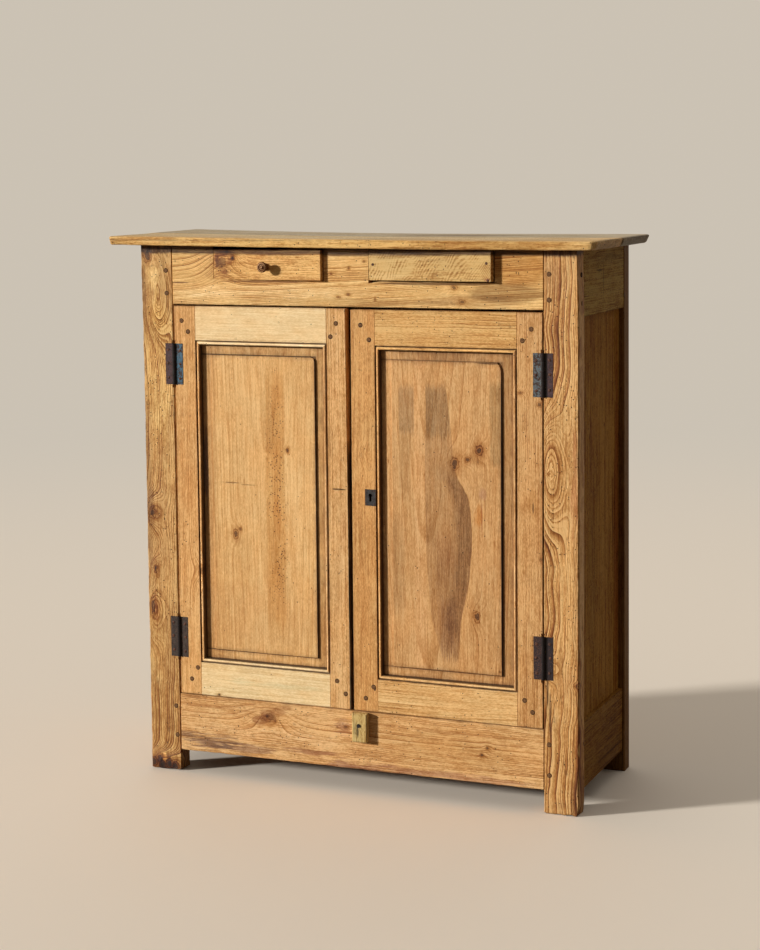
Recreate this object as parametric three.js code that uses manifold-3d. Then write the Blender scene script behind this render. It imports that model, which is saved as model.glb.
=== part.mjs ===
// A jelly cupboard of old pine: a pegged frame of posts, rails and panels, two
// panelled doors on iron butt hinges, and two small drawers cut into the frieze.
// Millimetres, +Z up, with the front towards -Y. The pieces are placed from the
// cupboard's front left foot, and the last group moves that corner so that the
// origin lies on the floor under the middle of the whole cupboard.

import * as THREE from 'three';
import { mergeVertices } from 'three/addons/utils/BufferGeometryUtils.js';
import Module from 'manifold-3d';

const wasm = await Module();
wasm.setup();

// Driving dimensions of the whole

const carcass = { width: 1086, depth: 415, height: 1273 };
const fit = 0.3; // working gap between two pieces that touch
const overrun = 3; // how far a cutter runs past the face that it leaves
const weld = 1e-4; // vertices closer than this are one
const footHeight = 53; // floor to the underside of the rails

// Driving dimensions of the frame

const post = { width: 81, backWidth: 60, depth: 44, wornEdge: 2.5 };
const rail = { thickness: 28, wornEdge: 1.2 };
const railTenon = { length: 45, thickness: 9, setIn: 10, shoulder: 15 };
const frieze = { height: 133, notchFloor: 74.5 };
const bottomRail = { height: 140, ledgeFromFace: 14 };
const side = { setBack: 1, thickness: 24, topHeight: 149, bottomHeight: 152 };
const sideTenon = { length: 30, thickness: 10, setIn: 7, shoulder: 14 };
const sidePanel = {
  recess: 11, thickness: 12, tongue: 7, tongueLength: 8, grooveDepth: 9,
  narrowBoard: 37, jointDepth: 1.5, jointHalfWidth: 3,
};
const backRail = { thickness: 22, topHeight: 143, tenonLength: 30, tenonThickness: 8, shoulder: 14 };
const backBoard = { count: 3, thickness: 14, lap: 10, rebate: 12 };
const floorBoard = { thickness: 20, belowRailTop: 2, wornEdge: 1.2 };
const shelf = { thickness: 20, housing: 10, behindDoor: 0.6, lowerShare: 0.31, upperShare: 0.65 };
const topBoard = {
  thickness: 20, overhangLeft: 74, overhangRight: 51, overhangFront: 30, overhangBack: 8, seamFromFront: 190,
  roundedEdge: 3.5, cornerRadius: 16, sharpCorner: 4, leftNotch: 5, backBoardPast: 3,
};

// Driving dimensions of the doors

const door = { thickness: 24, wornEdge: 0.8, hingeGap: 2.5, bottomGap: 2 };
const meetingShare = 0.4908; // where the doors meet, as a share of the way between the posts
const leftDoor = {
  topGap: 4, topHingeDown: 139, bottomHingeUp: 138.5, fromMeetingTop: 7, fromMeetingBottom: 1.5,
  hingeStile: 56, meetingStile: 50, topRail: 81.5, bottomRail: 80,
  border: { left: 28, right: 24, top: 23, bottom: 23 }, corner: { across: 8, down: 10 },
};
const rightDoor = {
  topGap: 5.5, topHingeDown: 138.5, bottomHingeUp: 162, fromMeetingTop: 6.8, fromMeetingBottom: 5.5,
  hingeStile: 59.5, meetingStile: 60, topRail: 82, bottomRail: 78,
  border: { left: 27, right: 29, top: 22, bottom: 22 }, corner: { across: 9, down: 28 },
};
const moulding = { width: 10, quirk: 2.6 };
const doorGroove = { fromFace: 11.2, width: 7.6, depth: 9 };
const doorTenon = { length: 40, shoulder: 14 };
const raisedPanel = { raise: 4.5, tongueLength: 7.5, fieldBevel: 1 };
const cornerPullShare = 0.333; // how far down a field's worn corner its curve is pulled

// Driving dimensions of the ironwork

const leaf = { height: 98, reach: 23, thickness: 2, proud: 0.7, clearance: 0.7, knuckles: 5 };
const barrel = {
  radius: 4.6, proud: 1, pinRadius: 2, boreRadius: 2.5, slotClearance: 0.6, slotBeyond: 7.5, sides: 16,
};
const escutcheon = { width: 26.5, height: 38, thickness: 1.3 };
const keyUpShare = 0.538; // the keyhole's height, as a share of the door's
const keyhole = { headRadius: 4.4, slotWidth: 5.4, height: 19, sides: 14, intoCase: 5 };
const lock = { width: 54, height: 92, thickness: 14, fromEdge: 2.3, belowKey: 36 };
const bolt = { length: 34, height: 17, thickness: 7, setIn: 3.5, aboveKey: 16, clearance: 0.4 };

// Driving dimensions of the turn button, which hangs clear of the doors at rest

const button = {
  width: 38, length: 68.6, thickness: 17, wornEdge: 2, belowDoor: 3.3, shortEnd: 28.7,
  fromMeeting: 6.2, nailFromLeft: 17.6,
};
const buttonNail = {
  radius: 2.2, headRadius: 4.5, headThickness: 1.6, intoRail: 20, clearance: 0.4, sides: 12,
};

// Driving dimensions of the drawers

const drawer = {
  depth: 310, frontThickness: 20, side: 9, back: 9, bottom: 5, boxHeight: 58, bottomUp: 6, grooveDepth: 4,
  wornEdge: 0.8, playLeft: 0.8, playRight: 3.5, sidePlay: 0.5, topPlay: 2,
};
const leftDrawer = { startShare: 0.1196, widthShare: 0.3041, skew: 2.2, frontUp: 1.5, knobShare: 0.4965 };
const rightDrawer = { startShare: 0.5484, widthShare: 0.3258, skew: 3, frontUp: 3.2 };
const knob = {
  radius: 12.5, reach: 25, up: 32, shankRadius: 3.4, shankLength: 16, clearance: 0.3, sides: 18,
};
// The knob's outline from its ringed face to its foot, as shares of its radius and its reach
const knobOutlineShares = [
  [0, 1], [0.3, 1], [0.36, 0.9], [0.56, 0.88], [0.62, 0.95], [0.8, 0.93], [1, 0.84], [1, 0.72],
  [0.82, 0.6], [0.46, 0.48], [0.46, 0.3], [0.7, 0.12],
];
const knobFootShare = 0.7;
const runner = { thickness: 12, ledge: 24, guideWidth: 16, guideHeight: 34 };

// Colours of the surfaces, with their roughness and metalness

function surface(colour, roughness, metalness = 0) {
  return new THREE.MeshStandardMaterial({ color: colour, roughness, metalness });
}

const oldPine = surface(0xc08a4a, 0.62);
const doorPine = surface(0xc99458, 0.58);
const newPine = surface(0xdcbb7c, 0.6);
const panelPine = surface(0xc28f56, 0.58);
const topPine = surface(0xb48e55, 0.66);
const insidePine = surface(0xa9824f, 0.75);
const buttonWood = surface(0xa98a4c, 0.7);
const knobWood = surface(0x5a4028, 0.5);
const oldIron = surface(0x4a3f3c, 0.6, 0.8);
const paintedIron = surface(0x4d5a66, 0.55, 0.4);

// Solids: closed meshes that can be joined and cut

function solidFrom(geometry) {
  const shell = geometry.index ? geometry.toNonIndexed() : geometry.clone();
  shell.deleteAttribute('normal');
  shell.deleteAttribute('uv');
  const merged = mergeVertices(shell, weld);
  return new wasm.Manifold(new wasm.Mesh({
    numProp: 3,
    vertProperties: merged.attributes.position.array,
    triVerts: new Uint32Array(merged.index.array),
  }));
}

function geometryFrom(solid) {
  const mesh = solid.getMesh();
  const geometry = new THREE.BufferGeometry();
  geometry.setAttribute('position', new THREE.BufferAttribute(mesh.vertProperties, 3));
  geometry.setIndex(new THREE.BufferAttribute(mesh.triVerts, 1));
  const facets = geometry.toNonIndexed();
  facets.computeVertexNormals();
  return facets;
}

const direction = {
  x: new THREE.Vector3(1, 0, 0),
  y: new THREE.Vector3(0, 1, 0),
  z: new THREE.Vector3(0, 0, 1),
};
const planeOf = { x: ['y', 'z'], y: ['z', 'x'], z: ['x', 'y'] };

// A flat outline in the plane square to an axis, made as thick as from one place to another
// along it, with the edges of both faces eased by a bevel that stays inside those places.
function slab(outline, axis, [from, to], ease = 0, steps = 1) {
  const geometry = new THREE.ExtrudeGeometry(outline, {
    depth: to - from - 2 * ease,
    bevelEnabled: ease > 0,
    bevelThickness: ease,
    bevelSize: ease,
    bevelSegments: steps,
    curveSegments: 4,
  });
  geometry.translate(0, 0, from + ease);
  const [across, up] = planeOf[axis];
  geometry.applyMatrix4(new THREE.Matrix4().makeBasis(direction[across], direction[up], direction[axis]));
  return solidFrom(geometry);
}

function polygon(points) {
  return new THREE.Shape(points.map(([a, b]) => new THREE.Vector2(a, b)));
}

// A block, given by the two places that it reaches between along each axis.
function block(box, axis = 'z', ease = 0) {
  const [across, up] = planeOf[axis];
  const [left, right] = [box[across][0] + ease, box[across][1] - ease];
  const [low, high] = [box[up][0] + ease, box[up][1] - ease];
  return slab(polygon([[left, low], [right, low], [right, high], [left, high]]), axis, box[axis], ease);
}

function grown(box, by = fit) {
  return {
    x: [box.x[0] - by, box.x[1] + by],
    y: [box.y[0] - by, box.y[1] + by],
    z: [box.z[0] - by, box.z[1] + by],
  };
}

function joined(base, ...extras) {
  return extras.reduce((whole, extra) => whole.add(extra), base);
}

function without(base, ...cutters) {
  return cutters.reduce((rest, cutter) => rest.subtract(cutter), base);
}

// A round bar along an axis through a place in the plane square to it.
function bar(axis, [a, b], [from, to], radius, sides) {
  const geometry = new THREE.CylinderGeometry(radius, radius, to - from, sides);
  geometry.rotateX(Math.PI / 2);
  geometry.translate(a, b, (from + to) / 2);
  const [across, up] = planeOf[axis];
  geometry.applyMatrix4(new THREE.Matrix4().makeBasis(direction[across], direction[up], direction[axis]));
  return solidFrom(geometry);
}

// The tenons on both ends of a member that runs along one axis. Each starts a little
// inside the member, so that it joins it, and the mortise is the same box grown by the fit.
function tenonsOf(member, along, cheeks, length) {
  const [start, end] = member[along];
  return [
    { ...cheeks, [along]: [start - length, start + overrun] },
    { ...cheeks, [along]: [end - overrun, end + length] },
  ];
}

const mortise = (tenon) => block(grown(tenon));

// The groups that move as one

const cupboard = new THREE.Group();
cupboard.name = 'jelly_cupboard';
const frame = new THREE.Group();
cupboard.add(frame);
cupboard.position.set(
  -(carcass.width + topBoard.overhangRight - topBoard.overhangLeft) / 2,
  -(carcass.depth + topBoard.overhangBack - topBoard.overhangFront) / 2,
  0,
);

function place(group, name, solid, material) {
  const mesh = new THREE.Mesh(geometryFrom(solid), material);
  mesh.name = name;
  group.add(mesh);
}

// The front rails, whose places the posts and the doors follow

const opening = { x: [post.width, carcass.width - post.width] };
const friezeBottom = carcass.height - frieze.height;
const railTop = footHeight + bottomRail.height;
const betweenPosts = [opening.x[0] + fit, opening.x[1] - fit];
const friezeBox = { x: betweenPosts, y: [0, rail.thickness], z: [friezeBottom, carcass.height - fit] };
const bottomRailBox = { x: betweenPosts, y: [0, rail.thickness], z: [footHeight, railTop] };
const railCheeks = [railTenon.setIn, railTenon.setIn + railTenon.thickness];
const ledgeHeight = railTop - floorBoard.belowRailTop - floorBoard.thickness;

const friezeTenons = tenonsOf(friezeBox, 'x', {
  y: railCheeks,
  z: [friezeBottom + railTenon.shoulder, carcass.height - railTenon.shoulder],
}, railTenon.length);
const bottomRailTenons = tenonsOf(bottomRailBox, 'x', {
  y: railCheeks,
  z: [footHeight + railTenon.shoulder, ledgeHeight],
}, railTenon.length);

// Where the drawers go through the frieze

const notchFloor = carcass.height - frieze.notchFloor;

function drawerPlace(spec) {
  const room = opening.x[1] - opening.x[0];
  const lean = THREE.MathUtils.degToRad(spec.skew);
  const width = room * spec.widthShare;
  const frontLeft = opening.x[0] + room * spec.startShare;
  const frontRight = frontLeft + width * Math.cos(lean);
  const cut = [frontLeft - drawer.playLeft, frontRight + drawer.playRight];
  return { ...spec, lean, width, frontLeft, notch: cut };
}

const leftPlace = drawerPlace(leftDrawer);
const rightPlace = drawerPlace(rightDrawer);

function notch(spot) {
  return block({
    x: spot.notch,
    y: [-overrun, rail.thickness + overrun],
    z: [notchFloor, carcass.height + overrun],
  });
}

place(frame, 'frieze_rail', without(
  joined(block(friezeBox, 'y', rail.wornEdge), ...friezeTenons.map((tenon) => block(tenon))),
  notch(leftPlace),
  notch(rightPlace),
), oldPine);

// The turn button's nail goes into the bottom rail

const meetingLine = opening.x[0] + (opening.x[1] - opening.x[0]) * meetingShare;
const doorBottom = railTop + door.bottomGap;
const buttonTop = doorBottom - button.belowDoor;
const nailPlace = {
  z: buttonTop - button.shortEnd,
  x: meetingLine + button.fromMeeting + button.nailFromLeft,
};
const nailHead = -fit - button.thickness - fit;

const nailAxis = [nailPlace.z, nailPlace.x];
const nailHole = [-overrun, buttonNail.intoRail + fit];
place(frame, 'front_bottom_rail', without(
  joined(block(bottomRailBox, 'y', rail.wornEdge), ...bottomRailTenons.map((tenon) => block(tenon))),
  block({
    x: [betweenPosts[0] - overrun, betweenPosts[1] + overrun],
    y: [bottomRail.ledgeFromFace, rail.thickness + overrun],
    z: [ledgeHeight, railTop + overrun],
  }),
  bar('y', nailAxis, nailHole, buttonNail.radius + fit, buttonNail.sides),
), oldPine);

// The sides: rails let into the posts, and a panel in grooves

const backFace = carcass.depth - post.depth;
const sideRun = [post.depth + fit, backFace - fit];
const sideHeights = {
  top: [carcass.height - side.topHeight, carcass.height - fit],
  bottom: [footHeight, footHeight + side.bottomHeight],
};

// A span measured inwards from the left face, or the same span from the right face.
function inFrom(sideName, near, far) {
  return sideName === 'left' ? [near, far] : [carcass.width - far, carcass.width - near];
}

function sideRail(sideName, level) {
  const box = {
    x: inFrom(sideName, side.setBack, side.setBack + side.thickness),
    y: sideRun,
    z: sideHeights[level],
  };
  const tenonNear = side.setBack + sideTenon.setIn;
  const tenons = tenonsOf(box, 'y', {
    x: inFrom(sideName, tenonNear, tenonNear + sideTenon.thickness),
    z: [box.z[0] + sideTenon.shoulder, box.z[1] - sideTenon.shoulder],
  }, sideTenon.length);
  return { box, tenons };
}

const tongueNear = side.setBack + sidePanel.recess + (sidePanel.thickness - sidePanel.tongue) / 2;

function sideTongue(sideName) {
  return {
    x: inFrom(sideName, tongueNear, tongueNear + sidePanel.tongue),
    y: [post.depth - sidePanel.tongueLength, backFace + sidePanel.tongueLength],
    z: [sideHeights.bottom[1] - sidePanel.tongueLength, sideHeights.top[0] + sidePanel.tongueLength],
  };
}

// The groove that the tongue lies in, a little deeper than the tongue is long.
function sideGroove(sideName) {
  const slack = sidePanel.grooveDepth - sidePanel.tongueLength;
  const tongue = sideTongue(sideName);
  return block({
    x: [tongue.x[0] - fit, tongue.x[1] + fit],
    y: [tongue.y[0] - slack, tongue.y[1] + slack],
    z: [tongue.z[0] - slack, tongue.z[1] + slack],
  });
}

function sidePanelSolid(sideName) {
  const near = side.setBack + sidePanel.recess;
  const board = block({
    x: inFrom(sideName, near, near + sidePanel.thickness),
    y: [post.depth + fit, backFace - fit],
    z: [sideHeights.bottom[1] + fit, sideHeights.top[0] - fit],
  });
  const face = sideName === 'left' ? near : carcass.width - near;
  const inward = sideName === 'left' ? sidePanel.jointDepth : -sidePanel.jointDepth;
  const jointY = backFace - sidePanel.narrowBoard;
  const joint = slab(polygon([
    [face - inward, jointY - sidePanel.jointHalfWidth],
    [face + inward, jointY],
    [face - inward, jointY + sidePanel.jointHalfWidth],
  ]), 'z', [sideHeights.bottom[1] - overrun, sideHeights.top[0] + overrun]);
  return joined(board.subtract(joint), block(sideTongue(sideName)));
}

const sideRails = {};
for (const sideName of ['left', 'right']) {
  for (const level of ['top', 'bottom']) {
    const { box, tenons } = sideRail(sideName, level);
    sideRails[`${sideName}_${level}`] = tenons;
    place(frame, `side_rail_${level}_${sideName}`, without(
      joined(block(box, 'x', rail.wornEdge), ...tenons.map((tenon) => block(tenon))),
      sideGroove(sideName),
    ), oldPine);
  }
  place(frame, `side_panel_${sideName}`, sidePanelSolid(sideName), panelPine);
}

// The back: two rails between the back posts, and lapped boards over them

const boardFront = carcass.depth - backBoard.thickness;
const backRun = [post.backWidth + fit, carcass.width - post.backWidth - fit];
const backRailDepth = [boardFront - fit - backRail.thickness, boardFront - fit];
const backCheeks = backRailDepth[0] + (backRail.thickness - backRail.tenonThickness) / 2;
const backRails = [
  { name: 'back_rail_top', z: [carcass.height - backRail.topHeight, carcass.height - fit] },
  { name: 'back_rail_bottom', z: [footHeight, ledgeHeight] },
].map(({ name, z }) => {
  const box = { x: backRun, y: backRailDepth, z };
  const tenons = tenonsOf(box, 'x', {
    y: [backCheeks, backCheeks + backRail.tenonThickness],
    z: [z[0] + backRail.shoulder, z[1] - backRail.shoulder],
  }, backRail.tenonLength);
  place(frame, name, joined(block(box), ...tenons.map((tenon) => block(tenon))), insidePine);
  return tenons;
});

const rebateStart = post.backWidth - backBoard.rebate;
const boardsRun = [rebateStart + fit, carcass.width - rebateStart - fit];
const boardPitch = (boardsRun[1] - boardsRun[0]) / backBoard.count;
for (let at = 0; at < backBoard.count; at += 1) {
  const left = boardsRun[0] + at * boardPitch;
  const right = left + boardPitch - fit;
  const middle = boardFront + backBoard.thickness / 2;
  const first = at === 0;
  const last = at === backBoard.count - 1;
  const lapStart = first ? left : left + backBoard.lap + fit;
  const lapEnd = last ? right : right + backBoard.lap;
  const outline = polygon([
    [left, boardFront], [right, boardFront], [right, middle + fit / 2], [lapEnd, middle + fit / 2],
    [lapEnd, carcass.depth], [lapStart, carcass.depth], [lapStart, middle - fit / 2],
    [left, middle - fit / 2],
  ]);
  place(frame, `back_board_${at + 1}`, slab(outline, 'z', [footHeight, carcass.height - fit]), insidePine);
}

// The floor board and the shelves: one outline, notched round the posts

const insideWall = side.setBack + side.thickness;

function notchedOutline(front, intoPost, gap) {
  const [left, right] = [insideWall + gap, carcass.width - insideWall - gap];
  const back = boardFront - gap;
  const frontPost = { x: post.width - intoPost + gap, y: post.depth - intoPost + gap };
  const backPost = { x: post.backWidth - intoPost + gap, y: backFace + intoPost - gap };
  return polygon([
    [frontPost.x, front], [carcass.width - frontPost.x, front], [carcass.width - frontPost.x, frontPost.y],
    [right, frontPost.y], [right, backPost.y], [carcass.width - backPost.x, backPost.y],
    [carcass.width - backPost.x, back], [backPost.x, back], [backPost.x, backPost.y],
    [left, backPost.y], [left, frontPost.y], [frontPost.x, frontPost.y],
  ]);
}

const floorTop = ledgeHeight + floorBoard.thickness;
place(frame, 'bottom_board', slab(
  notchedOutline(bottomRail.ledgeFromFace + fit, 0, fit), 'z', [ledgeHeight + fit, floorTop],
), insidePine);

const shelfFront = door.thickness + shelf.behindDoor;
const shelfRoom = friezeBottom - floorTop;
const shelfCutters = [];
for (const [name, share] of [['shelf_lower', shelf.lowerShare], ['shelf_upper', shelf.upperShare]]) {
  const top = floorTop + shelfRoom * share;
  const thickness = [top - shelf.thickness, top];
  place(frame, name, slab(notchedOutline(shelfFront, shelf.housing, fit), 'z', thickness), insidePine);
  shelfCutters.push(slab(
    notchedOutline(shelfFront - fit, shelf.housing, 0), 'z', [thickness[0] - fit, thickness[1] + fit],
  ));
}

// The hinges: where each turns, and what is cut away for it

const axisY = -barrel.proud;
const topHinge = (spec) => friezeBottom - spec.topGap - spec.topHingeDown;
const bottomHinge = (spec) => doorBottom + spec.bottomHingeUp;
const hinges = [
  { name: 'hinge_left_top', sign: -1, centre: topHinge(leftDoor) },
  { name: 'hinge_left_bottom', sign: -1, centre: bottomHinge(leftDoor) },
  { name: 'hinge_right_top', sign: 1, centre: topHinge(rightDoor) },
  { name: 'hinge_right_bottom', sign: 1, centre: bottomHinge(rightDoor) },
].map((hinge) => ({
  ...hinge,
  axis: hinge.sign < 0 ? opening.x[0] + door.hingeGap / 2 : opening.x[1] - door.hingeGap / 2,
  ends: [hinge.centre - leaf.height / 2, hinge.centre + leaf.height / 2],
}));
const leafBack = leaf.thickness - leaf.proud;

// The slot for the barrel and the shallow seat for the leaves, cut from posts and stiles alike.
function hingeCutters(hinge) {
  const slotHalf = barrel.radius + barrel.slotClearance;
  const slot = block({
    x: [hinge.axis - slotHalf, hinge.axis + slotHalf],
    y: [axisY - slotHalf, axisY + slotHalf],
    z: [hinge.ends[0] - barrel.slotBeyond, hinge.ends[1] + barrel.slotBeyond],
  });
  const seat = block({
    x: [hinge.axis - leaf.reach - fit, hinge.axis + leaf.reach + fit],
    y: [-overrun, leafBack + fit],
    z: [hinge.ends[0] - fit, hinge.ends[1] + fit],
  });
  return [slot, seat];
}

const leftHingeCutters = hinges.filter((hinge) => hinge.sign < 0).flatMap(hingeCutters);
const rightHingeCutters = hinges.filter((hinge) => hinge.sign > 0).flatMap(hingeCutters);

// Knuckles of one leaf: every second one belongs to the frame, the others to the door.
function hingeLeaf(hinge, ofFrame) {
  const toward = ofFrame ? hinge.sign : -hinge.sign;
  const pitch = leaf.height / leaf.knuckles;
  const near = barrel.radius + leaf.clearance;
  const reach = (from, to) => [hinge.axis + toward * from, hinge.axis + toward * to].sort((a, b) => a - b);
  const plateY = [-leaf.proud, leafBack];
  const plate = block({ x: reach(near, leaf.reach), y: plateY, z: hinge.ends });
  const parts = [plate];
  for (let at = 0; at < leaf.knuckles; at += 1) {
    const mine = (at % 2 === 0) === ofFrame;
    if (mine) {
      const low = hinge.ends[0] + at * pitch + (at === 0 ? 0 : fit / 2);
      const high = hinge.ends[0] + (at + 1) * pitch - (at === leaf.knuckles - 1 ? 0 : fit / 2);
      parts.push(bar('z', [hinge.axis, axisY], [low, high], barrel.radius, barrel.sides));
      parts.push(block({ x: reach(0, near + overrun), y: plateY, z: [low, high] }));
    }
  }
  const whole = joined(...parts);
  const pinEnds = [hinge.ends[0] + overrun, hinge.ends[1] - overrun];
  if (ofFrame) {
    return whole.add(bar('z', [hinge.axis, axisY], pinEnds, barrel.pinRadius, barrel.sides));
  }
  return whole.subtract(bar('z', [hinge.axis, axisY], hinge.ends, barrel.boreRadius, barrel.sides));
}

// The posts, cut for everything that is let into them

function frontPost(sideName) {
  const at = sideName === 'left' ? 0 : 1;
  const box = { x: inFrom(sideName, 0, post.width), y: [0, post.depth], z: [0, carcass.height - fit] };
  return without(
    block(box, 'y', post.wornEdge),
    mortise(friezeTenons[at]),
    mortise(bottomRailTenons[at]),
    mortise(sideRails[`${sideName}_top`][0]),
    mortise(sideRails[`${sideName}_bottom`][0]),
    sideGroove(sideName),
    ...shelfCutters,
    ...(sideName === 'left' ? leftHingeCutters : rightHingeCutters),
  );
}

function backPost(sideName) {
  const at = sideName === 'left' ? 0 : 1;
  const box = {
    x: inFrom(sideName, 0, post.backWidth),
    y: [backFace, carcass.depth],
    z: [0, carcass.height - fit],
  };
  const rebate = block({
    x: inFrom(sideName, rebateStart, post.backWidth + overrun),
    y: [boardFront - fit, carcass.depth + overrun],
    z: [footHeight - fit, carcass.height + overrun],
  });
  return without(
    block(box, 'y', post.wornEdge),
    rebate,
    ...backRails.map((tenons) => mortise(tenons[at])),
    mortise(sideRails[`${sideName}_top`][1]),
    mortise(sideRails[`${sideName}_bottom`][1]),
    sideGroove(sideName),
    ...shelfCutters,
  );
}

for (const sideName of ['left', 'right']) {
  place(frame, `post_front_${sideName}`, frontPost(sideName), oldPine);
  place(frame, `post_back_${sideName}`, backPost(sideName), oldPine);
}

// The top: two boards with rounded edges, the back one a little longer

const seam = topBoard.seamFromFront;
const topHeights = [carcass.height, carcass.height + topBoard.thickness];

function roundedBoard(left, right, front, back, radii) {
  const ease = topBoard.roundedEdge;
  const [x0, x1, y0, y1] = [left + ease, right - ease, front + ease, back - ease];
  const outline = new THREE.Shape();
  outline.moveTo(x0 + radii.frontLeft, y0);
  outline.lineTo(x1 - radii.frontRight, y0);
  outline.quadraticCurveTo(x1, y0, x1, y0 + radii.frontRight);
  outline.lineTo(x1, y1 - radii.backRight);
  outline.quadraticCurveTo(x1, y1, x1 - radii.backRight, y1);
  outline.lineTo(x0 + radii.backLeft, y1);
  outline.quadraticCurveTo(x0, y1, x0, y1 - radii.backLeft);
  outline.lineTo(x0, y0 + radii.frontLeft);
  outline.quadraticCurveTo(x0, y0, x0 + radii.frontLeft, y0);
  return slab(outline, 'z', topHeights, ease, 2);
}

const { cornerRadius, sharpCorner, leftNotch: notchedCorner } = topBoard;
const topEnds = { left: -topBoard.overhangLeft, right: carcass.width + topBoard.overhangRight };
place(frame, 'top_board_front', roundedBoard(
  topEnds.left, topEnds.right - topBoard.backBoardPast, -topBoard.overhangFront, seam - fit / 2,
  { frontLeft: sharpCorner, frontRight: cornerRadius, backRight: sharpCorner, backLeft: notchedCorner },
), topPine);
place(frame, 'top_board_back', roundedBoard(
  topEnds.left, topEnds.right, seam + fit / 2, carcass.depth + topBoard.overhangBack,
  { frontLeft: notchedCorner, frontRight: sharpCorner, backRight: cornerRadius, backLeft: sharpCorner },
), topPine);

// The doors

const sight = moulding.width; // how far the moulding stands inwards from the rails' shoulders
const beadRadius = (moulding.width - moulding.quirk) / 2;

// The moulding's section, w inwards from the shoulder line and y back from the face: a sunk
// quirk, a bead, and behind them the groove for the panel's tongue.
function mouldingSection() {
  const root = overrun;
  const section = new THREE.Shape();
  section.moveTo(-root, beadRadius);
  section.lineTo(moulding.quirk, beadRadius);
  section.absarc(moulding.quirk + beadRadius, beadRadius, beadRadius, Math.PI, 2 * Math.PI, false);
  section.lineTo(sight, doorGroove.fromFace);
  section.lineTo(sight - doorGroove.depth, doorGroove.fromFace);
  section.lineTo(sight - doorGroove.depth, doorGroove.fromFace + doorGroove.width);
  section.lineTo(sight, doorGroove.fromFace + doorGroove.width);
  section.lineTo(sight, door.thickness);
  section.lineTo(-root, door.thickness);
  return section;
}

// A length of moulding with mitred ends. Its root lies inside the stile or rail that it is
// worked on, w points into the opening, and it runs along a length from its corner.
function mouldingStrip(inward, along, corner, length) {
  const strip = solidFrom(new THREE.ExtrudeGeometry(mouldingSection(), {
    depth: length,
    bevelEnabled: false,
    curveSegments: 6,
  }));
  const [start, end] = [fit / Math.SQRT2, length - fit / Math.SQRT2];
  const beyond = sight + overrun;
  const mitred = slab(polygon([
    [start, -overrun], [end, -overrun], [end, 0], [end - beyond, beyond], [start + beyond, beyond],
    [start, 0],
  ]), 'y', [-overrun, door.thickness + overrun]);
  const cut = geometryFrom(strip.intersect(mitred));
  const turned = new THREE.Matrix4().makeBasis(inward, direction.y, along);
  cut.applyMatrix4(turned.setPosition(corner.x, 0, corner.z));
  return solidFrom(cut);
}

const minus = (axis) => direction[axis].clone().negate();

// Where the lock's keyhole goes through, from a front plane to a back plane.
function keyholeCutter(centre, [from, to]) {
  const headZ = centre.z + keyhole.height / 2 - keyhole.headRadius;
  return joined(
    bar('y', [headZ, centre.x], [from, to], keyhole.headRadius, keyhole.sides),
    block({
      x: [centre.x - keyhole.slotWidth / 2, centre.x + keyhole.slotWidth / 2],
      y: [from, to],
      z: [centre.z - keyhole.height / 2, headZ],
    }),
  );
}

// The door's edges and shoulder lines, worked out from the posts and from the meeting line.
function doorPlan(spec, hingeSide) {
  const heights = [doorBottom, friezeBottom - spec.topGap];
  const hingeEdge = hingeSide === 'left' ? opening.x[0] + door.hingeGap : opening.x[1] - door.hingeGap;
  const outward = hingeSide === 'left' ? -1 : 1;
  const meetingTop = meetingLine + outward * spec.fromMeetingTop;
  const meetingBottom = meetingLine + outward * spec.fromMeetingBottom;
  const hingeShoulder = hingeEdge - outward * spec.hingeStile;
  const meetingShoulder = (meetingTop + meetingBottom) / 2 + outward * spec.meetingStile;
  const shoulders = [hingeShoulder, meetingShoulder].sort((a, b) => a - b);
  return {
    ...spec, hingeSide, heights, hingeEdge, meetingTop, meetingBottom, shoulders,
    rails: [heights[0] + spec.bottomRail, heights[1] - spec.topRail],
  };
}

function doorRailParts(plan, level) {
  const atBottom = level === 'bottom';
  const box = {
    x: [plan.shoulders[0] + fit, plan.shoulders[1] - fit],
    y: [0, door.thickness],
    z: atBottom ? [plan.heights[0], plan.rails[0]] : [plan.rails[1], plan.heights[1]],
  };
  const [below, above] = atBottom ? [doorTenon.shoulder, fit] : [fit, doorTenon.shoulder];
  const tenons = tenonsOf(box, 'x', {
    y: [doorGroove.fromFace, doorGroove.fromFace + doorGroove.width],
    z: [box.z[0] + below, box.z[1] - above],
  }, doorTenon.length);
  return { box, tenons };
}

function doorStile(plan, stileSide, cutters) {
  const [low, high] = plan.heights;
  const ease = door.wornEdge;
  const onLeft = stileSide === 'left';
  const shoulder = onLeft ? plan.shoulders[0] : plan.shoulders[1];
  const isHinge = stileSide === plan.hingeSide;
  const edgeTop = isHinge ? plan.hingeEdge : plan.meetingTop;
  const edgeBottom = isHinge ? plan.hingeEdge : plan.meetingBottom;
  const inward = onLeft ? ease : -ease;
  const timber = slab(polygon([
    [low + ease, edgeBottom + inward], [low + ease, shoulder - inward],
    [high - ease, shoulder - inward], [high - ease, edgeTop + inward],
  ]), 'y', [0, door.thickness], ease);
  const [bottom, top] = plan.rails;
  const strip = onLeft
    ? mouldingStrip(direction.x, direction.z, { x: shoulder, z: bottom }, top - bottom)
    : mouldingStrip(minus('x'), minus('z'), { x: shoulder, z: top }, top - bottom);
  const at = onLeft ? 0 : 1;
  const mortises = ['bottom', 'top'].map((level) => mortise(doorRailParts(plan, level).tenons[at]));
  return without(timber.add(strip), ...mortises, ...cutters);
}

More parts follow.
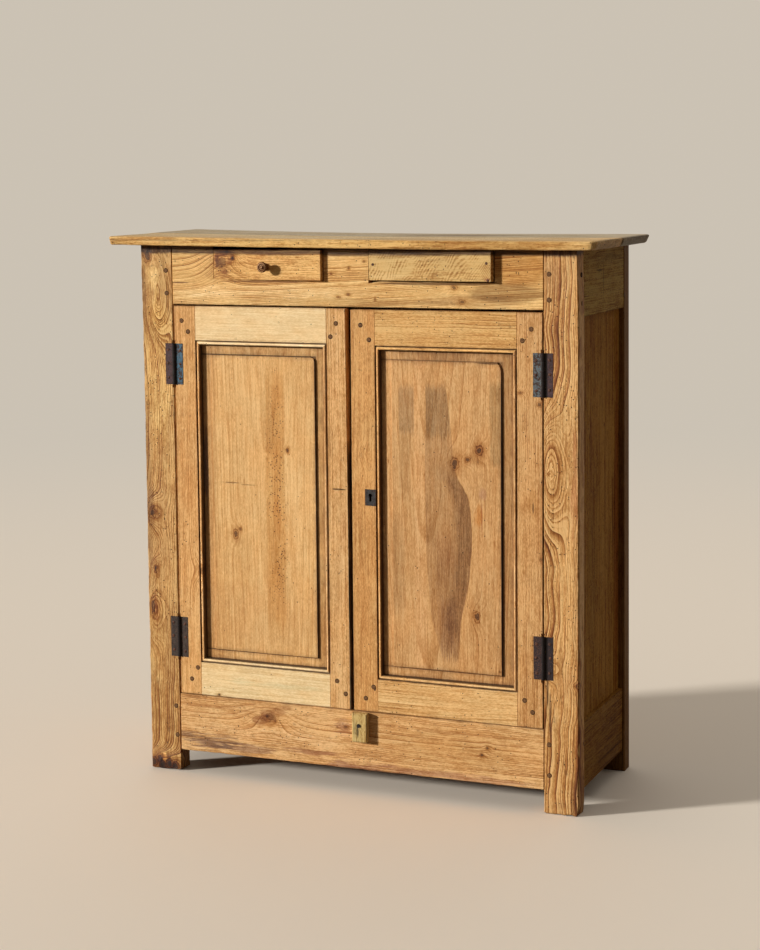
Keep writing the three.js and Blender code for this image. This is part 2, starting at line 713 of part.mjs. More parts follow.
function doorRail(plan, level) {
  const { box, tenons } = doorRailParts(plan, level);
  const [left, right] = plan.shoulders;
  const strip = level === 'bottom'
    ? mouldingStrip(direction.z, minus('x'), { x: right, z: plan.rails[0] }, right - left)
    : mouldingStrip(minus('z'), direction.x, { x: left, z: plan.rails[1] }, right - left);
  return joined(block(box, 'y', door.wornEdge), strip, ...tenons.map((tenon) => block(tenon)));
}

function doorPanel(plan) {
  const reach = raisedPanel.tongueLength - sight;
  const tongueFront = doorGroove.fromFace + fit;
  const tongueBack = doorGroove.fromFace + doorGroove.width - fit;
  const tongue = block({
    x: [plan.shoulders[0] - reach, plan.shoulders[1] + reach],
    y: [tongueFront, tongueBack],
    z: [plan.rails[0] - reach, plan.rails[1] + reach],
  });
  const ease = raisedPanel.fieldBevel;
  const { border, corner } = plan;
  const left = plan.shoulders[0] + sight + border.left + ease;
  const right = plan.shoulders[1] - sight - border.right - ease;
  const low = plan.rails[0] + sight + border.bottom + ease;
  const high = plan.rails[1] - sight - border.top - ease;
  const field = new THREE.Shape();
  field.moveTo(low, left);
  field.lineTo(high, left);
  field.lineTo(high, right - corner.across);
  field.quadraticCurveTo(high - corner.down * cornerPullShare, right, high - corner.down, right);
  field.lineTo(low, right);
  return tongue.add(slab(field, 'y', [tongueFront - raisedPanel.raise, tongueBack - ease], ease));
}

function buildDoor(name, plan, woods, meetingCutters) {
  const group = new THREE.Group();
  const hingeCuts = plan.hingeSide === 'left' ? leftHingeCutters : rightHingeCutters;
  const meetingSide = plan.hingeSide === 'left' ? 'right' : 'left';
  place(group, `${name}_hinge_stile`, doorStile(plan, plan.hingeSide, hingeCuts), woods.stiles);
  place(group, `${name}_meeting_stile`, doorStile(plan, meetingSide, meetingCutters), woods.stiles);
  place(group, `${name}_top_rail`, doorRail(plan, 'top'), woods.rails);
  place(group, `${name}_bottom_rail`, doorRail(plan, 'bottom'), woods.rails);
  place(group, `${name}_panel`, doorPanel(plan), panelPine);
  cupboard.add(group);
  return group;
}

const leftPlan = doorPlan(leftDoor, 'left');
const rightPlan = doorPlan(rightDoor, 'right');
const keyCentre = {
  x: rightPlan.shoulders[0] - fit - escutcheon.width / 2,
  z: THREE.MathUtils.lerp(rightPlan.heights[0], rightPlan.heights[1], keyUpShare),
};
const throughStile = keyholeCutter(keyCentre, [-overrun, door.thickness + overrun]);
const leftWoods = { stiles: doorPine, rails: newPine };
const rightWoods = { stiles: doorPine, rails: doorPine };
const leftDoorGroup = buildDoor('door_left', leftPlan, leftWoods, []);
const rightDoorGroup = buildDoor('door_right', rightPlan, rightWoods, [throughStile]);

// The leaves go on the frame and on the doors

for (const hinge of hinges) {
  place(frame, `${hinge.name}_frame_leaf`, hingeLeaf(hinge, true), oldIron);
  const group = hinge.sign < 0 ? leftDoorGroup : rightDoorGroup;
  place(group, `${hinge.name}_door_leaf`, hingeLeaf(hinge, false), paintedIron);
}

// The lock: a plate with the keyhole in front, a case behind the stile, and its bolt

const plateDepth = [-fit - escutcheon.thickness, -fit];
place(rightDoorGroup, 'escutcheon', without(
  block({
    x: [keyCentre.x - escutcheon.width / 2, keyCentre.x + escutcheon.width / 2],
    y: plateDepth,
    z: [keyCentre.z - escutcheon.height / 2, keyCentre.z + escutcheon.height / 2],
  }),
  keyholeCutter(keyCentre, [plateDepth[0] - overrun, overrun]),
), oldIron);

const meetingEdgeAtKey = THREE.MathUtils.mapLinear(
  keyCentre.z, rightPlan.heights[0], rightPlan.heights[1], rightPlan.meetingBottom, rightPlan.meetingTop,
);
const caseBox = {
  x: [meetingEdgeAtKey + lock.fromEdge, meetingEdgeAtKey + lock.fromEdge + lock.width],
  y: [door.thickness + fit, door.thickness + fit + lock.thickness],
  z: [keyCentre.z - lock.belowKey, keyCentre.z - lock.belowKey + lock.height],
};
const boltBox = {
  x: [caseBox.x[0], caseBox.x[0] + bolt.length],
  y: [caseBox.y[0] + bolt.setIn, caseBox.y[0] + bolt.setIn + bolt.thickness],
  z: [keyCentre.z + bolt.aboveKey, keyCentre.z + bolt.aboveKey + bolt.height],
};
const boltWay = grown(boltBox, bolt.clearance);
place(rightDoorGroup, 'lock_case', without(
  block(caseBox, 'y', rail.wornEdge),
  block({ ...boltWay, x: [boltBox.x[0] - overrun, boltWay.x[1]] }),
  keyholeCutter(keyCentre, [caseBox.y[0] - overrun, caseBox.y[0] + keyhole.intoCase]),
), oldIron);
const boltGroup = new THREE.Group();
rightDoorGroup.add(boltGroup);
place(boltGroup, 'lock_bolt', block(boltBox), oldIron);

// The turn button, on its nail

const buttonGroup = new THREE.Group();
cupboard.add(buttonGroup);
const buttonBox = {
  x: [nailPlace.x - button.nailFromLeft, nailPlace.x - button.nailFromLeft + button.width],
  y: [-fit - button.thickness, -fit],
  z: [buttonTop - button.length, buttonTop],
};
place(buttonGroup, 'turn_button', without(
  block(buttonBox, 'y', button.wornEdge),
  bar('y', nailAxis, [nailHead, overrun], buttonNail.radius + buttonNail.clearance, buttonNail.sides),
), buttonWood);
const nailFace = nailHead - buttonNail.headThickness;
place(frame, 'turn_button_nail', joined(
  bar('y', nailAxis, [nailFace, buttonNail.intoRail], buttonNail.radius, buttonNail.sides),
  bar('y', nailAxis, [nailFace, nailHead], buttonNail.headRadius, buttonNail.sides),
), oldIron);

// The runners that the drawers slide on, from the frieze to the back rail

const runnerRun = [rail.thickness + fit, backRailDepth[0] - fit];

function runnerLedge(from, to) {
  return block({ x: [from, to], y: runnerRun, z: [notchFloor - runner.thickness, notchFloor] });
}

function runnerGuide(from, to) {
  return block({ x: [from, to], y: runnerRun, z: [notchFloor - overrun, notchFloor + runner.guideHeight] });
}

const [leftNotch, rightNotch] = [leftPlace.notch, rightPlace.notch];
place(frame, 'drawer_runner_left', joined(
  runnerLedge(leftNotch[0] - runner.guideWidth, leftNotch[0] + runner.ledge),
  runnerGuide(leftNotch[0] - runner.guideWidth, leftNotch[0]),
), insidePine);
place(frame, 'drawer_runner_middle', joined(
  runnerLedge(leftNotch[1] - runner.ledge, rightNotch[0] + runner.ledge),
  runnerGuide(leftNotch[1], rightNotch[0]),
), insidePine);
place(frame, 'drawer_runner_right', joined(
  runnerLedge(rightNotch[1] - runner.ledge, rightNotch[1] + runner.guideWidth),
  runnerGuide(rightNotch[1], rightNotch[1] + runner.guideWidth),
), insidePine);

// The drawers. Each sits askew: its front turns about its left end, so the box behind it is
// as much narrower than the opening as its back end wanders to the right.

function buildDrawer(name, spot) {
  const group = new THREE.Group();
  group.position.set(spot.frontLeft, 0, notchFloor + fit);
  group.rotation.z = -spot.lean;
  cupboard.add(group);

  const boxRun = [drawer.frontThickness + fit, drawer.depth];
  const wander = drawer.depth * Math.sin(spot.lean);
  const clearWidth = spot.notch[1] - spot.frontLeft - drawer.sidePlay - wander;
  const boxRight = clearWidth / Math.cos(spot.lean);
  const innerLeft = drawer.side;
  const innerRight = boxRight - drawer.side;
  const groove = { z: [drawer.bottomUp, drawer.bottomUp + drawer.bottom] };
  const bottomBox = {
    x: [innerLeft - drawer.grooveDepth + fit, innerRight + drawer.grooveDepth - fit],
    y: [boxRun[0] - drawer.grooveDepth, boxRun[1]],
    z: groove.z,
  };
  const grooves = block(grown({ ...bottomBox, y: [bottomBox.y[0], boxRun[1] + overrun] }));

  const frontBox = {
    x: [0, spot.width],
    y: [0, drawer.frontThickness],
    z: [spot.frontUp, frieze.notchFloor - fit - drawer.topPlay],
  };
  const holeRadius = knob.shankRadius + knob.clearance;
  const holeRun = [-overrun, knob.shankLength + fit];
  const knobPlaces = spot.knobShare ? [spot.width * spot.knobShare] : [];
  const knobHoles = knobPlaces.map((x) => bar('y', [knob.up, x], holeRun, holeRadius, knob.sides));
  place(group, `${name}_front`, without(
    block(frontBox, 'y', drawer.wornEdge),
    grooves,
    ...knobHoles,
  ), oldPine);
  for (const [sideName, x] of [['left', [0, drawer.side]], ['right', [innerRight, boxRight]]]) {
    place(group, `${name}_side_${sideName}`, without(
      block({ x, y: boxRun, z: [0, drawer.boxHeight] }),
      grooves,
    ), insidePine);
  }
  place(group, `${name}_back`, block({
    x: [innerLeft + fit, innerRight - fit],
    y: [boxRun[1] - drawer.back, boxRun[1]],
    z: [groove.z[1] + fit, drawer.boxHeight],
  }), insidePine);
  place(group, `${name}_bottom`, block(bottomBox), insidePine);
  knobPlaces.forEach((x) => place(group, `${name}_knob`, knobSolid(x), knobWood));
}

// A small turned knob with a ringed face, on a shank that goes into the front.
function knobSolid(fromLeft) {
  const { radius, reach, shankRadius, shankLength } = knob;
  const outline = [
    ...knobOutlineShares.map(([across, out]) => [across * radius, -out * reach]),
    [knobFootShare * radius, -fit], [shankRadius, -fit], [shankRadius, shankLength], [0, shankLength],
  ].map(([across, back]) => new THREE.Vector2(across, back));
  const geometry = new THREE.LatheGeometry(outline, knob.sides);
  geometry.translate(fromLeft, 0, knob.up);
  return solidFrom(geometry);
}

buildDrawer('drawer_left', leftPlace);
buildDrawer('drawer_right', rightPlace);

export default cupboard;
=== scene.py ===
# %% [markdown]
# An old pine jelly cupboard: a pegged frame of posts and rails, two panelled doors on iron butt
# hinges, and two small drawers in the frieze. The shapes of its boards come from the packed
# model, which stays as it is. What this lesson adds is what makes the wood look old: its grain,
# knots, stains, wormholes and worn edges, the pegs and nails, and the rust on the iron.

# %% The frame that everything sits on
import math
import random

import bmesh
import bpy
from mathutils import Matrix, Vector, noise


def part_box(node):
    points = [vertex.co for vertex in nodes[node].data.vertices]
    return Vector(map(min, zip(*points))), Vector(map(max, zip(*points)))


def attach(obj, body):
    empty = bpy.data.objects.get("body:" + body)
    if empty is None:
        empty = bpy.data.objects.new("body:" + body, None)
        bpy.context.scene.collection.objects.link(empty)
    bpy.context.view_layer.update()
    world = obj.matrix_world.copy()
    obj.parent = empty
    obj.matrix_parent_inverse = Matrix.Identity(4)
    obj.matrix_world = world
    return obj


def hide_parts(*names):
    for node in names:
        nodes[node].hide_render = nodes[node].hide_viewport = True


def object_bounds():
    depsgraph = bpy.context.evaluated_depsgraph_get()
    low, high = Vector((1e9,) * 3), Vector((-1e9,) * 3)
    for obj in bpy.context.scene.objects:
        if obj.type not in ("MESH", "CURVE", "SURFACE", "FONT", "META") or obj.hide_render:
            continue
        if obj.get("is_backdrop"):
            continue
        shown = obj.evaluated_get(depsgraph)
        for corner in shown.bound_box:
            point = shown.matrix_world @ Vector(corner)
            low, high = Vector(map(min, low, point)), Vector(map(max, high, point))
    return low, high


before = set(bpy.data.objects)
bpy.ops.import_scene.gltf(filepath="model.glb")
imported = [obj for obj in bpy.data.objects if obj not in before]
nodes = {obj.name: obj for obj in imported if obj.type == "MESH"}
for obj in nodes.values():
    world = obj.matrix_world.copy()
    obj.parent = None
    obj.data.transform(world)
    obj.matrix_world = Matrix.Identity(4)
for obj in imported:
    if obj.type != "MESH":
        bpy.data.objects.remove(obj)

cad_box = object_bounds()

# %% [markdown]
# The camera stands a little to the right of the cupboard at eye height and looks slightly down.
# Its place and lens were worked out from the corners of the carcass. The frame is moved down a
# little instead of tilting the camera further, so that the posts stay nearly upright.

# %% Camera
def add_object(name, data):
    """A new object in the scene."""
    made = bpy.data.objects.new(name, data)
    bpy.context.scene.collection.objects.link(made)
    return made


camera_data = bpy.data.cameras.new("camera")
camera_data.sensor_width = 36
camera_data.lens = 74.86
camera_data.shift_y = -0.1053
camera = add_object("camera", camera_data)
turn, dip, roll = math.radians(22.401), math.radians(5.637), math.radians(-0.544)
camera.matrix_world = (
    Matrix.Translation((1.797, -4.357, 1.4297))
    @ Matrix.Rotation(turn, 4, "Z")
    @ Matrix.Rotation(math.radians(90) - dip, 4, "X")
    @ Matrix.Rotation(roll, 4, "Z")
)
bpy.context.scene.camera = camera
bpy.context.scene.view_settings.view_transform = "Standard"
print("camera at", [round(v, 2) for v in camera.matrix_world.translation])

# %% [markdown]
# A material is a graph of small nodes. These helpers put one node in a graph and connect it in
# one line, so that the finishes below read as short recipes. A value that is a socket is
# linked, and any other value is typed into the node.

# %% Helpers for arithmetic in a graph
def put(tree, kind, inputs=None, **settings):
    """Adds a node, sets its options, and links or sets its inputs."""
    made = tree.nodes.new(kind)
    for name, value in settings.items():
        setattr(made, name, value)
    for key, value in (inputs or {}).items():
        if isinstance(value, bpy.types.NodeSocket):
            tree.links.new(value, made.inputs[key])
        else:
            made.inputs[key].default_value = value
    return made


def calc(tree, operation, *values):
    """One step of arithmetic."""
    return put(tree, "ShaderNodeMath", dict(enumerate(values)), operation=operation).outputs[0]


def product(tree, first, *others):
    """Values multiplied with each other, from left to right."""
    for value in others:
        first = calc(tree, "MULTIPLY", first, value)
    return first


def total(tree, first, *others):
    """Values added to each other, from left to right."""
    for value in others:
        first = calc(tree, "ADD", first, value)
    return first


def swing(tree, pattern, amount):
    """A pattern round one half, turned into a swing of half this much either way."""
    return product(tree, calc(tree, "SUBTRACT", pattern, 0.5), amount)


def place(tree, operation, *values):
    """One step of arithmetic on places."""
    made = put(tree, "ShaderNodeVectorMath", dict(enumerate(values)), operation=operation)
    return made.outputs["Value" if operation in ("LENGTH", "DISTANCE") else "Vector"]


def split(tree, where):
    """The three numbers of a place."""
    return put(tree, "ShaderNodeSeparateXYZ", {0: where}).outputs


def join(tree, *numbers):
    """A place made of up to three numbers."""
    return put(tree, "ShaderNodeCombineXYZ", dict(enumerate(numbers))).outputs[0]


print("arithmetic ready")

# %% [markdown]
# The next helpers shape a value: a soft step up or down, a new range, clouds of noise, and one
# colour over another. Clouds that are squeezed along one axis come out drawn out along it, which
# is how every streak in the wood is made.

# %% Helpers for patterns and colours
def soft_step(tree, value, low, high):
    """0 up to low, 1 from high on, and a smooth rise between them."""
    inputs = {"Value": value, "From Min": low, "From Max": high}
    return put(tree, "ShaderNodeMapRange", inputs, interpolation_type="SMOOTHSTEP").outputs[0]


def fade_out(tree, value, low, high):
    """1 up to low, 0 from high on, and a smooth fall between them."""
    return calc(tree, "SUBTRACT", 1.0, soft_step(tree, value, low, high))


def ranged(tree, value, low, high):
    """A value from 0 to 1, moved to lie between low and high."""
    inputs = {"Value": value, "To Min": low, "To Max": high}
    return put(tree, "ShaderNodeMapRange", inputs).outputs[0]


def clouds(tree, where, scale, detail=2.0, rough=0.5):
    """A cloudy pattern around one half."""
    inputs = {"Vector": where, "Scale": scale, "Detail": detail, "Roughness": rough}
    return put(tree, "ShaderNodeTexNoise", inputs).outputs["Fac"]


def drawn_out(tree, where, share, scale, detail=2.0, rough=0.5):
    """A cloudy pattern drawn out along the third axis: the smaller the share, the longer."""
    return clouds(tree, place(tree, "MULTIPLY", where, (1, 1, share)), scale, detail, rough)


def blend(tree, share, under, over, how="MIX"):
    """Lays one colour over another."""
    inputs = {0: share, 6: under, 7: over}
    return put(tree, "ShaderNodeMix", inputs, data_type="RGBA", blend_type=how).outputs[2]


def tinted(tree, share, colour, tint):
    """Multiplies a colour by a tint, as far as the share says."""
    return blend(tree, share, colour, (*tint, 1), "MULTIPLY")


print("patterns ready")

# %% [markdown]
# An effect that several finishes share is a node group. It is built once, with named inputs and
# outputs, and each finish then places it with its own values.

# %% Helpers for shared effects
def effect(name, inputs, outputs):
    """Starts a shared effect with named inputs and outputs."""
    group = bpy.data.node_groups.new(name, "ShaderNodeTree")
    for title, kind, value in inputs:
        socket = group.interface.new_socket(
            name=title, in_out="INPUT", socket_type="NodeSocket" + kind)
        socket.default_value = value
    for title, kind in outputs:
        group.interface.new_socket(name=title, in_out="OUTPUT", socket_type="NodeSocket" + kind)
    return group, put(group, "NodeGroupInput").outputs, put(group, "NodeGroupOutput").inputs


def give(group, made, values):
    """Hands an effect's results to its outputs."""
    for name, value in values.items():
        group.links.new(value, made[name])
    print("effect:", group.name, "with", len(group.nodes), "nodes")


def use(tree, group, **inputs):
    """Places a shared effect in a graph. Spaces in its inputs' names are written as _."""
    named = {key.replace("_", " "): value for key, value in inputs.items()}
    return put(tree, "ShaderNodeGroup", named, node_tree=group).outputs


print("effects can be built")

# %% [markdown]
# Pine shows its growth rings: soft pale wood from spring, and a thin hard line from late summer.
# In the log the rings are nested tubes round the pith, and a board is a slice of them. So the
# rings are made in three dimensions, from the distance to the pith, and every face, edge and end
# of a board then shows the lines that a saw would have found there. Slow noise bends the tubes,
# and a push from a knot makes the lines flow round it.

# %% Effect: growth rings
growth, given, made = effect(
    "growth rings",
    [("Board", "Vector", (0, 0, 0)), ("Ring Width", "Float", 0.005), ("Wave", "Float", 0.01),
     ("Tilt", "Float", 0.0), ("Swirl", "Float", 0.0), ("Push", "Float", 0.0)],
    [("Late Wood", "Float"), ("Ring Tone", "Float")],
)


def wander(stretch, scale, detail, amount):
    """A push in three directions that changes from place to place."""
    where = place(growth, "MULTIPLY", given["Board"], stretch)
    cloud = put(growth, "ShaderNodeTexNoise", {"Vector": where, "Scale": scale, "Detail": detail})
    push = place(growth, "SUBTRACT", cloud.outputs["Color"], (0.5, 0.5, 0.5))
    inputs = {0: push, "Scale": amount}
    return put(growth, "ShaderNodeVectorMath", inputs, operation="SCALE").outputs[0]


ripple = product(growth, given["Wave"], 0.13)
bent = place(growth, "ADD", given["Board"], wander((1, 1, 0.2), 8.0, 1.5, given["Wave"]))
bent = place(growth, "ADD", bent, wander((1, 1, 0.2), 48.0, 2.0, ripple))
bent = place(growth, "ADD", bent, wander((1, 1, 0.7), 15.0, 1.0, given["Swirl"]))
parts = split(growth, bent)
deep = calc(growth, "MULTIPLY_ADD", parts[2], given["Tilt"], parts[1])
radius = total(growth, place(growth, "LENGTH", join(growth, parts[0], deep)), given["Push"])
drift = product(growth, clouds(growth, join(growth, radius), 70.0), 3.0)
count = total(growth, calc(growth, "DIVIDE", radius, given["Ring Width"]), drift)
phase = calc(growth, "FRACT", count)
rise = soft_step(growth, phase, 0.25, 0.88)
fall = fade_out(growth, phase, 0.9, 1.0)
ring = calc(growth, "FLOOR", count)
tone = put(growth, "ShaderNodeTexWhiteNoise", {"W": ring}, noise_dimensions="1D").outputs["Value"]
late = product(growth, rise, fall, ranged(growth, tone, 0.35, 1.0))
give(growth, made, {"Late Wood": late, "Ring Tone": tone})

# %% [markdown]
# A knot is where a branch grew. Its own rings lie square to the board's, it is darker, and the
# board's rings swell round it. One effect gives all of it: how dark the wood gets, a mask of the
# nearly black core, and how far the knot pushes the growth rings out. The push fades as a bell
# curve does, which is e raised to minus the square of the distance.

# %% Effect: a knot
knot_effect, given, made = effect(
    "knot",
    [("Position", "Vector", (0, 0, 0)), ("Centre", "Vector", (0, 0, 0)),
     ("Stretch", "Vector", (1, 1, 1)), ("Radius", "Float", 0.008), ("Strength", "Float", 1.0)],
    [("Core", "Float"), ("Darkness", "Float"), ("Push", "Float")],
)
offset = place(knot_effect, "SUBTRACT", given["Position"], given["Centre"])
offset = place(knot_effect, "MULTIPLY", offset, given["Stretch"])
away = calc(knot_effect, "DIVIDE", place(knot_effect, "LENGTH", offset), given["Radius"])
ragged = clouds(knot_effect, given["Position"], 130.0, 3.0)
rough_away = total(knot_effect, away, ranged(knot_effect, ragged, -0.55, 0.55))
core = fade_out(knot_effect, rough_away, 0.45, 0.7)
rim = fade_out(knot_effect, rough_away, 0.95, 1.2)
halo = fade_out(knot_effect, rough_away, 0.9, 2.8)
small_rings = calc(knot_effect, "SINE", product(knot_effect, rough_away, 15.0))
eye = product(knot_effect, rim, ranged(knot_effect, small_rings, 0.3, 1.2))
darkness = calc(knot_effect, "MULTIPLY_ADD", eye, 1.3, product(knot_effect, halo, 0.4))
squared = calc(knot_effect, "POWER", away, 2.0)
bell = calc(knot_effect, "POWER", 2.718, product(knot_effect, squared, -0.16))
push = product(knot_effect, bell, given["Radius"], 2.0)
found = {"Core": core, "Darkness": darkness, "Push": push}
give(knot_effect, made,
     {name: product(knot_effect, value, given["Strength"]) for name, value in found.items()})

# %% [markdown]
# Old pine has small round holes left by beetles, in groups. Cells of a Voronoi pattern give one
# point each. A point becomes a hole only where the cell's random colour and a slow cloud allow
# it, so the holes come in clusters, as they do in the real boards.

# %% Effect: wormholes
CELLS_PER_METRE = 190.0
worm_effect, given, made = effect(
    "wormholes",
    [("Position", "Vector", (0, 0, 0)), ("Amount", "Float", 0.3), ("Size", "Float", 0.0012)],
    [("Hole", "Float")],
)
cell_inputs = {"Vector": given["Position"], "Scale": CELLS_PER_METRE}
cells = put(worm_effect, "ShaderNodeTexVoronoi", cell_inputs).outputs
reach = product(worm_effect, given["Size"], CELLS_PER_METRE)
near = calc(worm_effect, "DIVIDE", cells["Distance"], reach)
round_hole = fade_out(worm_effect, near, 0.55, 1.05)
cluster = soft_step(worm_effect, clouds(worm_effect, given["Position"], 11.0, 3.0), 0.4, 0.66)
luck = put(worm_effect, "ShaderNodeSeparateColor", {0: cells["Color"]}).outputs[0]
allowed = calc(worm_effect, "LESS_THAN", luck, product(worm_effect, cluster, given["Amount"]))
give(worm_effect, made, {"Hole": product(worm_effect, round_hole, allowed)})

# %% [markdown]
# Dirt gathers where boards meet, and hands and feet round the edges off. The effect knows the
# board's lowest and highest corner. Of the three distances to its faces, the smallest is to the
# face that is looked at, so the middle one is the distance to the nearest edge of that face.

# %% Effect: near an edge
def ragged_line(tree, distance, reach, patchy, swell, fall):
    """A line whose reach swells and shrinks with a cloudy pattern, and which fades at its rim."""
    width = product(tree, reach, ranged(tree, patchy, *swell))
    return fade_out(tree, calc(tree, "DIVIDE", distance, width), *fall)


edge_effect, given, made = effect(
    "near an edge",
    [("Position", "Vector", (0, 0, 0)), ("Low", "Vector", (0, 0, 0)),
     ("High", "Vector", (1, 1, 1)), ("Reach", "Float", 0.004)],
    [("Line", "Float"), ("Grime", "Float")],
)
to_low = place(edge_effect, "SUBTRACT", given["Position"], given["Low"])
to_low = place(edge_effect, "ABSOLUTE", to_low)
to_high = place(edge_effect, "SUBTRACT", given["High"], given["Position"])
to_high = place(edge_effect, "ABSOLUTE", to_high)
a, b, c = split(edge_effect, place(edge_effect, "MINIMUM", to_low, to_high))
smaller, larger = calc(edge_effect, "MINIMUM", a, b), calc(edge_effect, "MAXIMUM", a, b)
middle = calc(edge_effect, "MAXIMUM", smaller, calc(edge_effect, "MINIMUM", larger, c))
patchy = clouds(edge_effect, given["Position"], 38.0, 3.0, 0.6)
line = ragged_line(edge_effect, middle, given["Reach"], patchy, (-0.1, 1.0), (0.5, 1.1))
grime = ragged_line(edge_effect, middle, given["Reach"], patchy, (-3.5, 9.0), (0.0, 1.0))
give(edge_effect, made, {"Line": line, "Grime": grime})

# %% [markdown]
# Water, iron and spilt preserves leave stains that run with the grain. A stain is an oval in the
# board with a ragged rim, and the noise that tears its rim is drawn out along the grain. The same
# ovals also paint shade and shadow: under the top and the drawers, in the gap between the doors
# and the keyhole, beside the back posts, and along a raised field.

# %% Effect: a stain
stain_effect, given, made = effect(
    "stain",
    [("Position", "Vector", (0, 0, 0)), ("Grain", "Vector", (1, 1, 0.1)),
     ("Centre", "Vector", (0, 0, 0)), ("Half Size", "Vector", (0.01, 0.05, 0.05)),
     ("Ragged", "Float", 0.8)],
    [("Mask", "Float")],
)
offset = place(stain_effect, "SUBTRACT", given["Position"], given["Centre"])
offset = place(stain_effect, "DIVIDE", offset, given["Half Size"])
with_grain = place(stain_effect, "MULTIPLY", given["Position"], given["Grain"])
streaky = clouds(stain_effect, with_grain, 130.0, 4.0, 0.6)
torn = product(stain_effect, swing(stain_effect, streaky, given["Ragged"]), 2.4)
far = total(stain_effect, place(stain_effect, "LENGTH", offset), torn)
solid = calc(stain_effect, "MULTIPLY_ADD", given["Ragged"], -0.9, 1.0)
solid = calc(stain_effect, "MAXIMUM", solid, 0.35)
mask = fade_out(stain_effect, far, solid, 1.1)
mask = product(stain_effect, mask, ranged(stain_effect, streaky, 0.45, 1.4))
give(stain_effect, made, {"Mask": mask})

# %% [markdown]
# Some stains follow one growth ring, so that one side of them is a clean curved line and the
# other fades. They are made as a band that runs up a board between a left and a right line. The
# lines can be plain places, or curves drawn through a few points.

# %% Effect: a band up a board
band_effect, given, made = effect(
    "band",
    [("Position", "Vector", (0, 0, 0)), ("Left", "Float", 0.0), ("Right", "Float", 0.1),
     ("Bottom", "Float", 0.0), ("Top", "Float", 1.0), ("Soft Left", "Float", 0.002),
     ("Soft Right", "Float", 0.002), ("Fade", "Float", 0.01)],
    [("Mask", "Float")],
)


def past(value, line, soft):
    """0 below a line and 1 above it, with a rise as wide as twice soft."""
    low = calc(band_effect, "SUBTRACT", line, soft)
    return soft_step(band_effect, value, low, total(band_effect, line, soft))


def between(value, first, last, first_soft, last_soft):
    """1 between two lines and 0 outside them."""
    inside = calc(band_effect, "SUBTRACT", past(value, first, first_soft),
                  past(value, last, last_soft))
    return calc(band_effect, "MAXIMUM", inside, 0.0)


streaky = drawn_out(band_effect, given["Position"], 0.05, 420.0, 3.0, 0.65)
broken = drawn_out(band_effect, given["Position"], 0.6, 260.0, 4.0, 0.7)
uneven = calc(band_effect, "SUBTRACT", streaky, 0.5)
apart = split(band_effect, given["Position"])
across = calc(band_effect, "MULTIPLY_ADD", uneven, 0.006, apart[0])
upward = calc(band_effect, "MULTIPLY_ADD", uneven, 0.05, apart[2])
sides = between(across, given["Left"], given["Right"], given["Soft Left"], given["Soft Right"])
ends = between(upward, given["Bottom"], given["Top"], given["Fade"], given["Fade"])
texture = product(band_effect, ranged(band_effect, streaky, 0.2, 1.6),
                  ranged(band_effect, broken, 0.35, 1.65))
give(band_effect, made, {"Mask": product(band_effect, sides, ends, texture)})

# %% [markdown]
# Round each panel, the frame's moulding and the edge of the raised field are rectangles seen from
# the front. Shade is painted along them, with some dirt, and a highlight is painted on the top of
# the bead. The effect measures how far a place is from the outline of such a rectangle.

# %% Effect: along an outline
outline_effect, given, made = effect(
    "along an outline",
    [("Position", "Vector", (0, 0, 0)), ("Low", "Vector", (0, 0, 0)),
     ("High", "Vector", (1, 1, 1)), ("Reach", "Float", 0.0015), ("Wide", "Float", 0.012)],
    [("Line", "Float"), ("Shade And Dirt", "Float")],
)
centre = place(outline_effect, "ADD", given["Low"], given["High"])
centre = place(outline_effect, "MULTIPLY", centre, (0.5, 0.5, 0.5))
half = place(outline_effect, "SUBTRACT", given["High"], given["Low"])
half = place(outline_effect, "MULTIPLY", half, (0.5, 0.5, 0.5))
beyond = place(outline_effect, "SUBTRACT", given["Position"], centre)
beyond = place(outline_effect, "SUBTRACT", place(outline_effect, "ABSOLUTE", beyond), half)
beyond = place(outline_effect, "MULTIPLY", beyond, (1, 0, 1))
outside = place(outline_effect, "LENGTH", place(outline_effect, "MAXIMUM", beyond, (0, 0, 0)))
apart = split(outline_effect, beyond)
inside = calc(outline_effect, "MAXIMUM", apart[0], apart[2])
inside = calc(outline_effect, "MINIMUM", inside, 0.0)
distance = calc(outline_effect, "ABSOLUTE", total(outline_effect, outside, inside))
patchy = clouds(outline_effect, given["Position"], 30.0, 4.0, 0.65)
line = ragged_line(outline_effect, distance, given["Reach"], patchy, (0.3, 1.7), (0.5, 1.2))
shade_and_dirt = ragged_line(outline_effect, distance, given["Wide"], patchy, (-0.6, 2.2), (0.0, 1.0))
give(outline_effect, made, {"Line": line, "Shade And Dirt": shade_and_dirt})

# %% [markdown]
# The surface of an old waxed board joins these. A single number says how dark each spot is, from
# the ring lines, fibres, streaks and slow patches, and the colour between early and late wood
# follows it by powers, so that darker wood also gets redder, as real pine does. Late wood stands
# a little proud because the soft wood between wears away first, so the same masks give relief.

# %% Effect: old pine, its patterns
pine_effect, given, made = effect(
    "old pine",
    [("Board", "Vector", (0, 0, 0)), ("Position", "Vector", (0, 0, 0)),
     ("Low", "Vector", (0, 0, 0)), ("High", "Vector", (1, 1, 1)),
     ("Early", "Color", (0.6, 0.33, 0.13, 1)),
     ("Late", "Color", (0.3, 0.13, 0.04, 1)), ("Ring Width", "Float", 0.005),
     ("Wave", "Float", 0.01), ("Tilt", "Float", 0.0), ("Swirl", "Float", 0.0),
     ("Push", "Float", 0.0), ("Darkness", "Float", 0.0), ("Contrast", "Float", 0.6),
     ("Streaks", "Float", 0.5), ("Patches", "Float", 0.15), ("Holes", "Float", 0.2),
     ("Dents", "Float", 0.3), ("Dirt", "Float", 0.6)],
    [("Color", "Color"), ("Roughness", "Float"), ("Height", "Float")],
)


def figure(share, scale, detail=2.0, rough=0.5):
    """A cloudy pattern drawn out along the board's grain."""
    return drawn_out(pine_effect, given["Board"], share, scale, detail, rough)


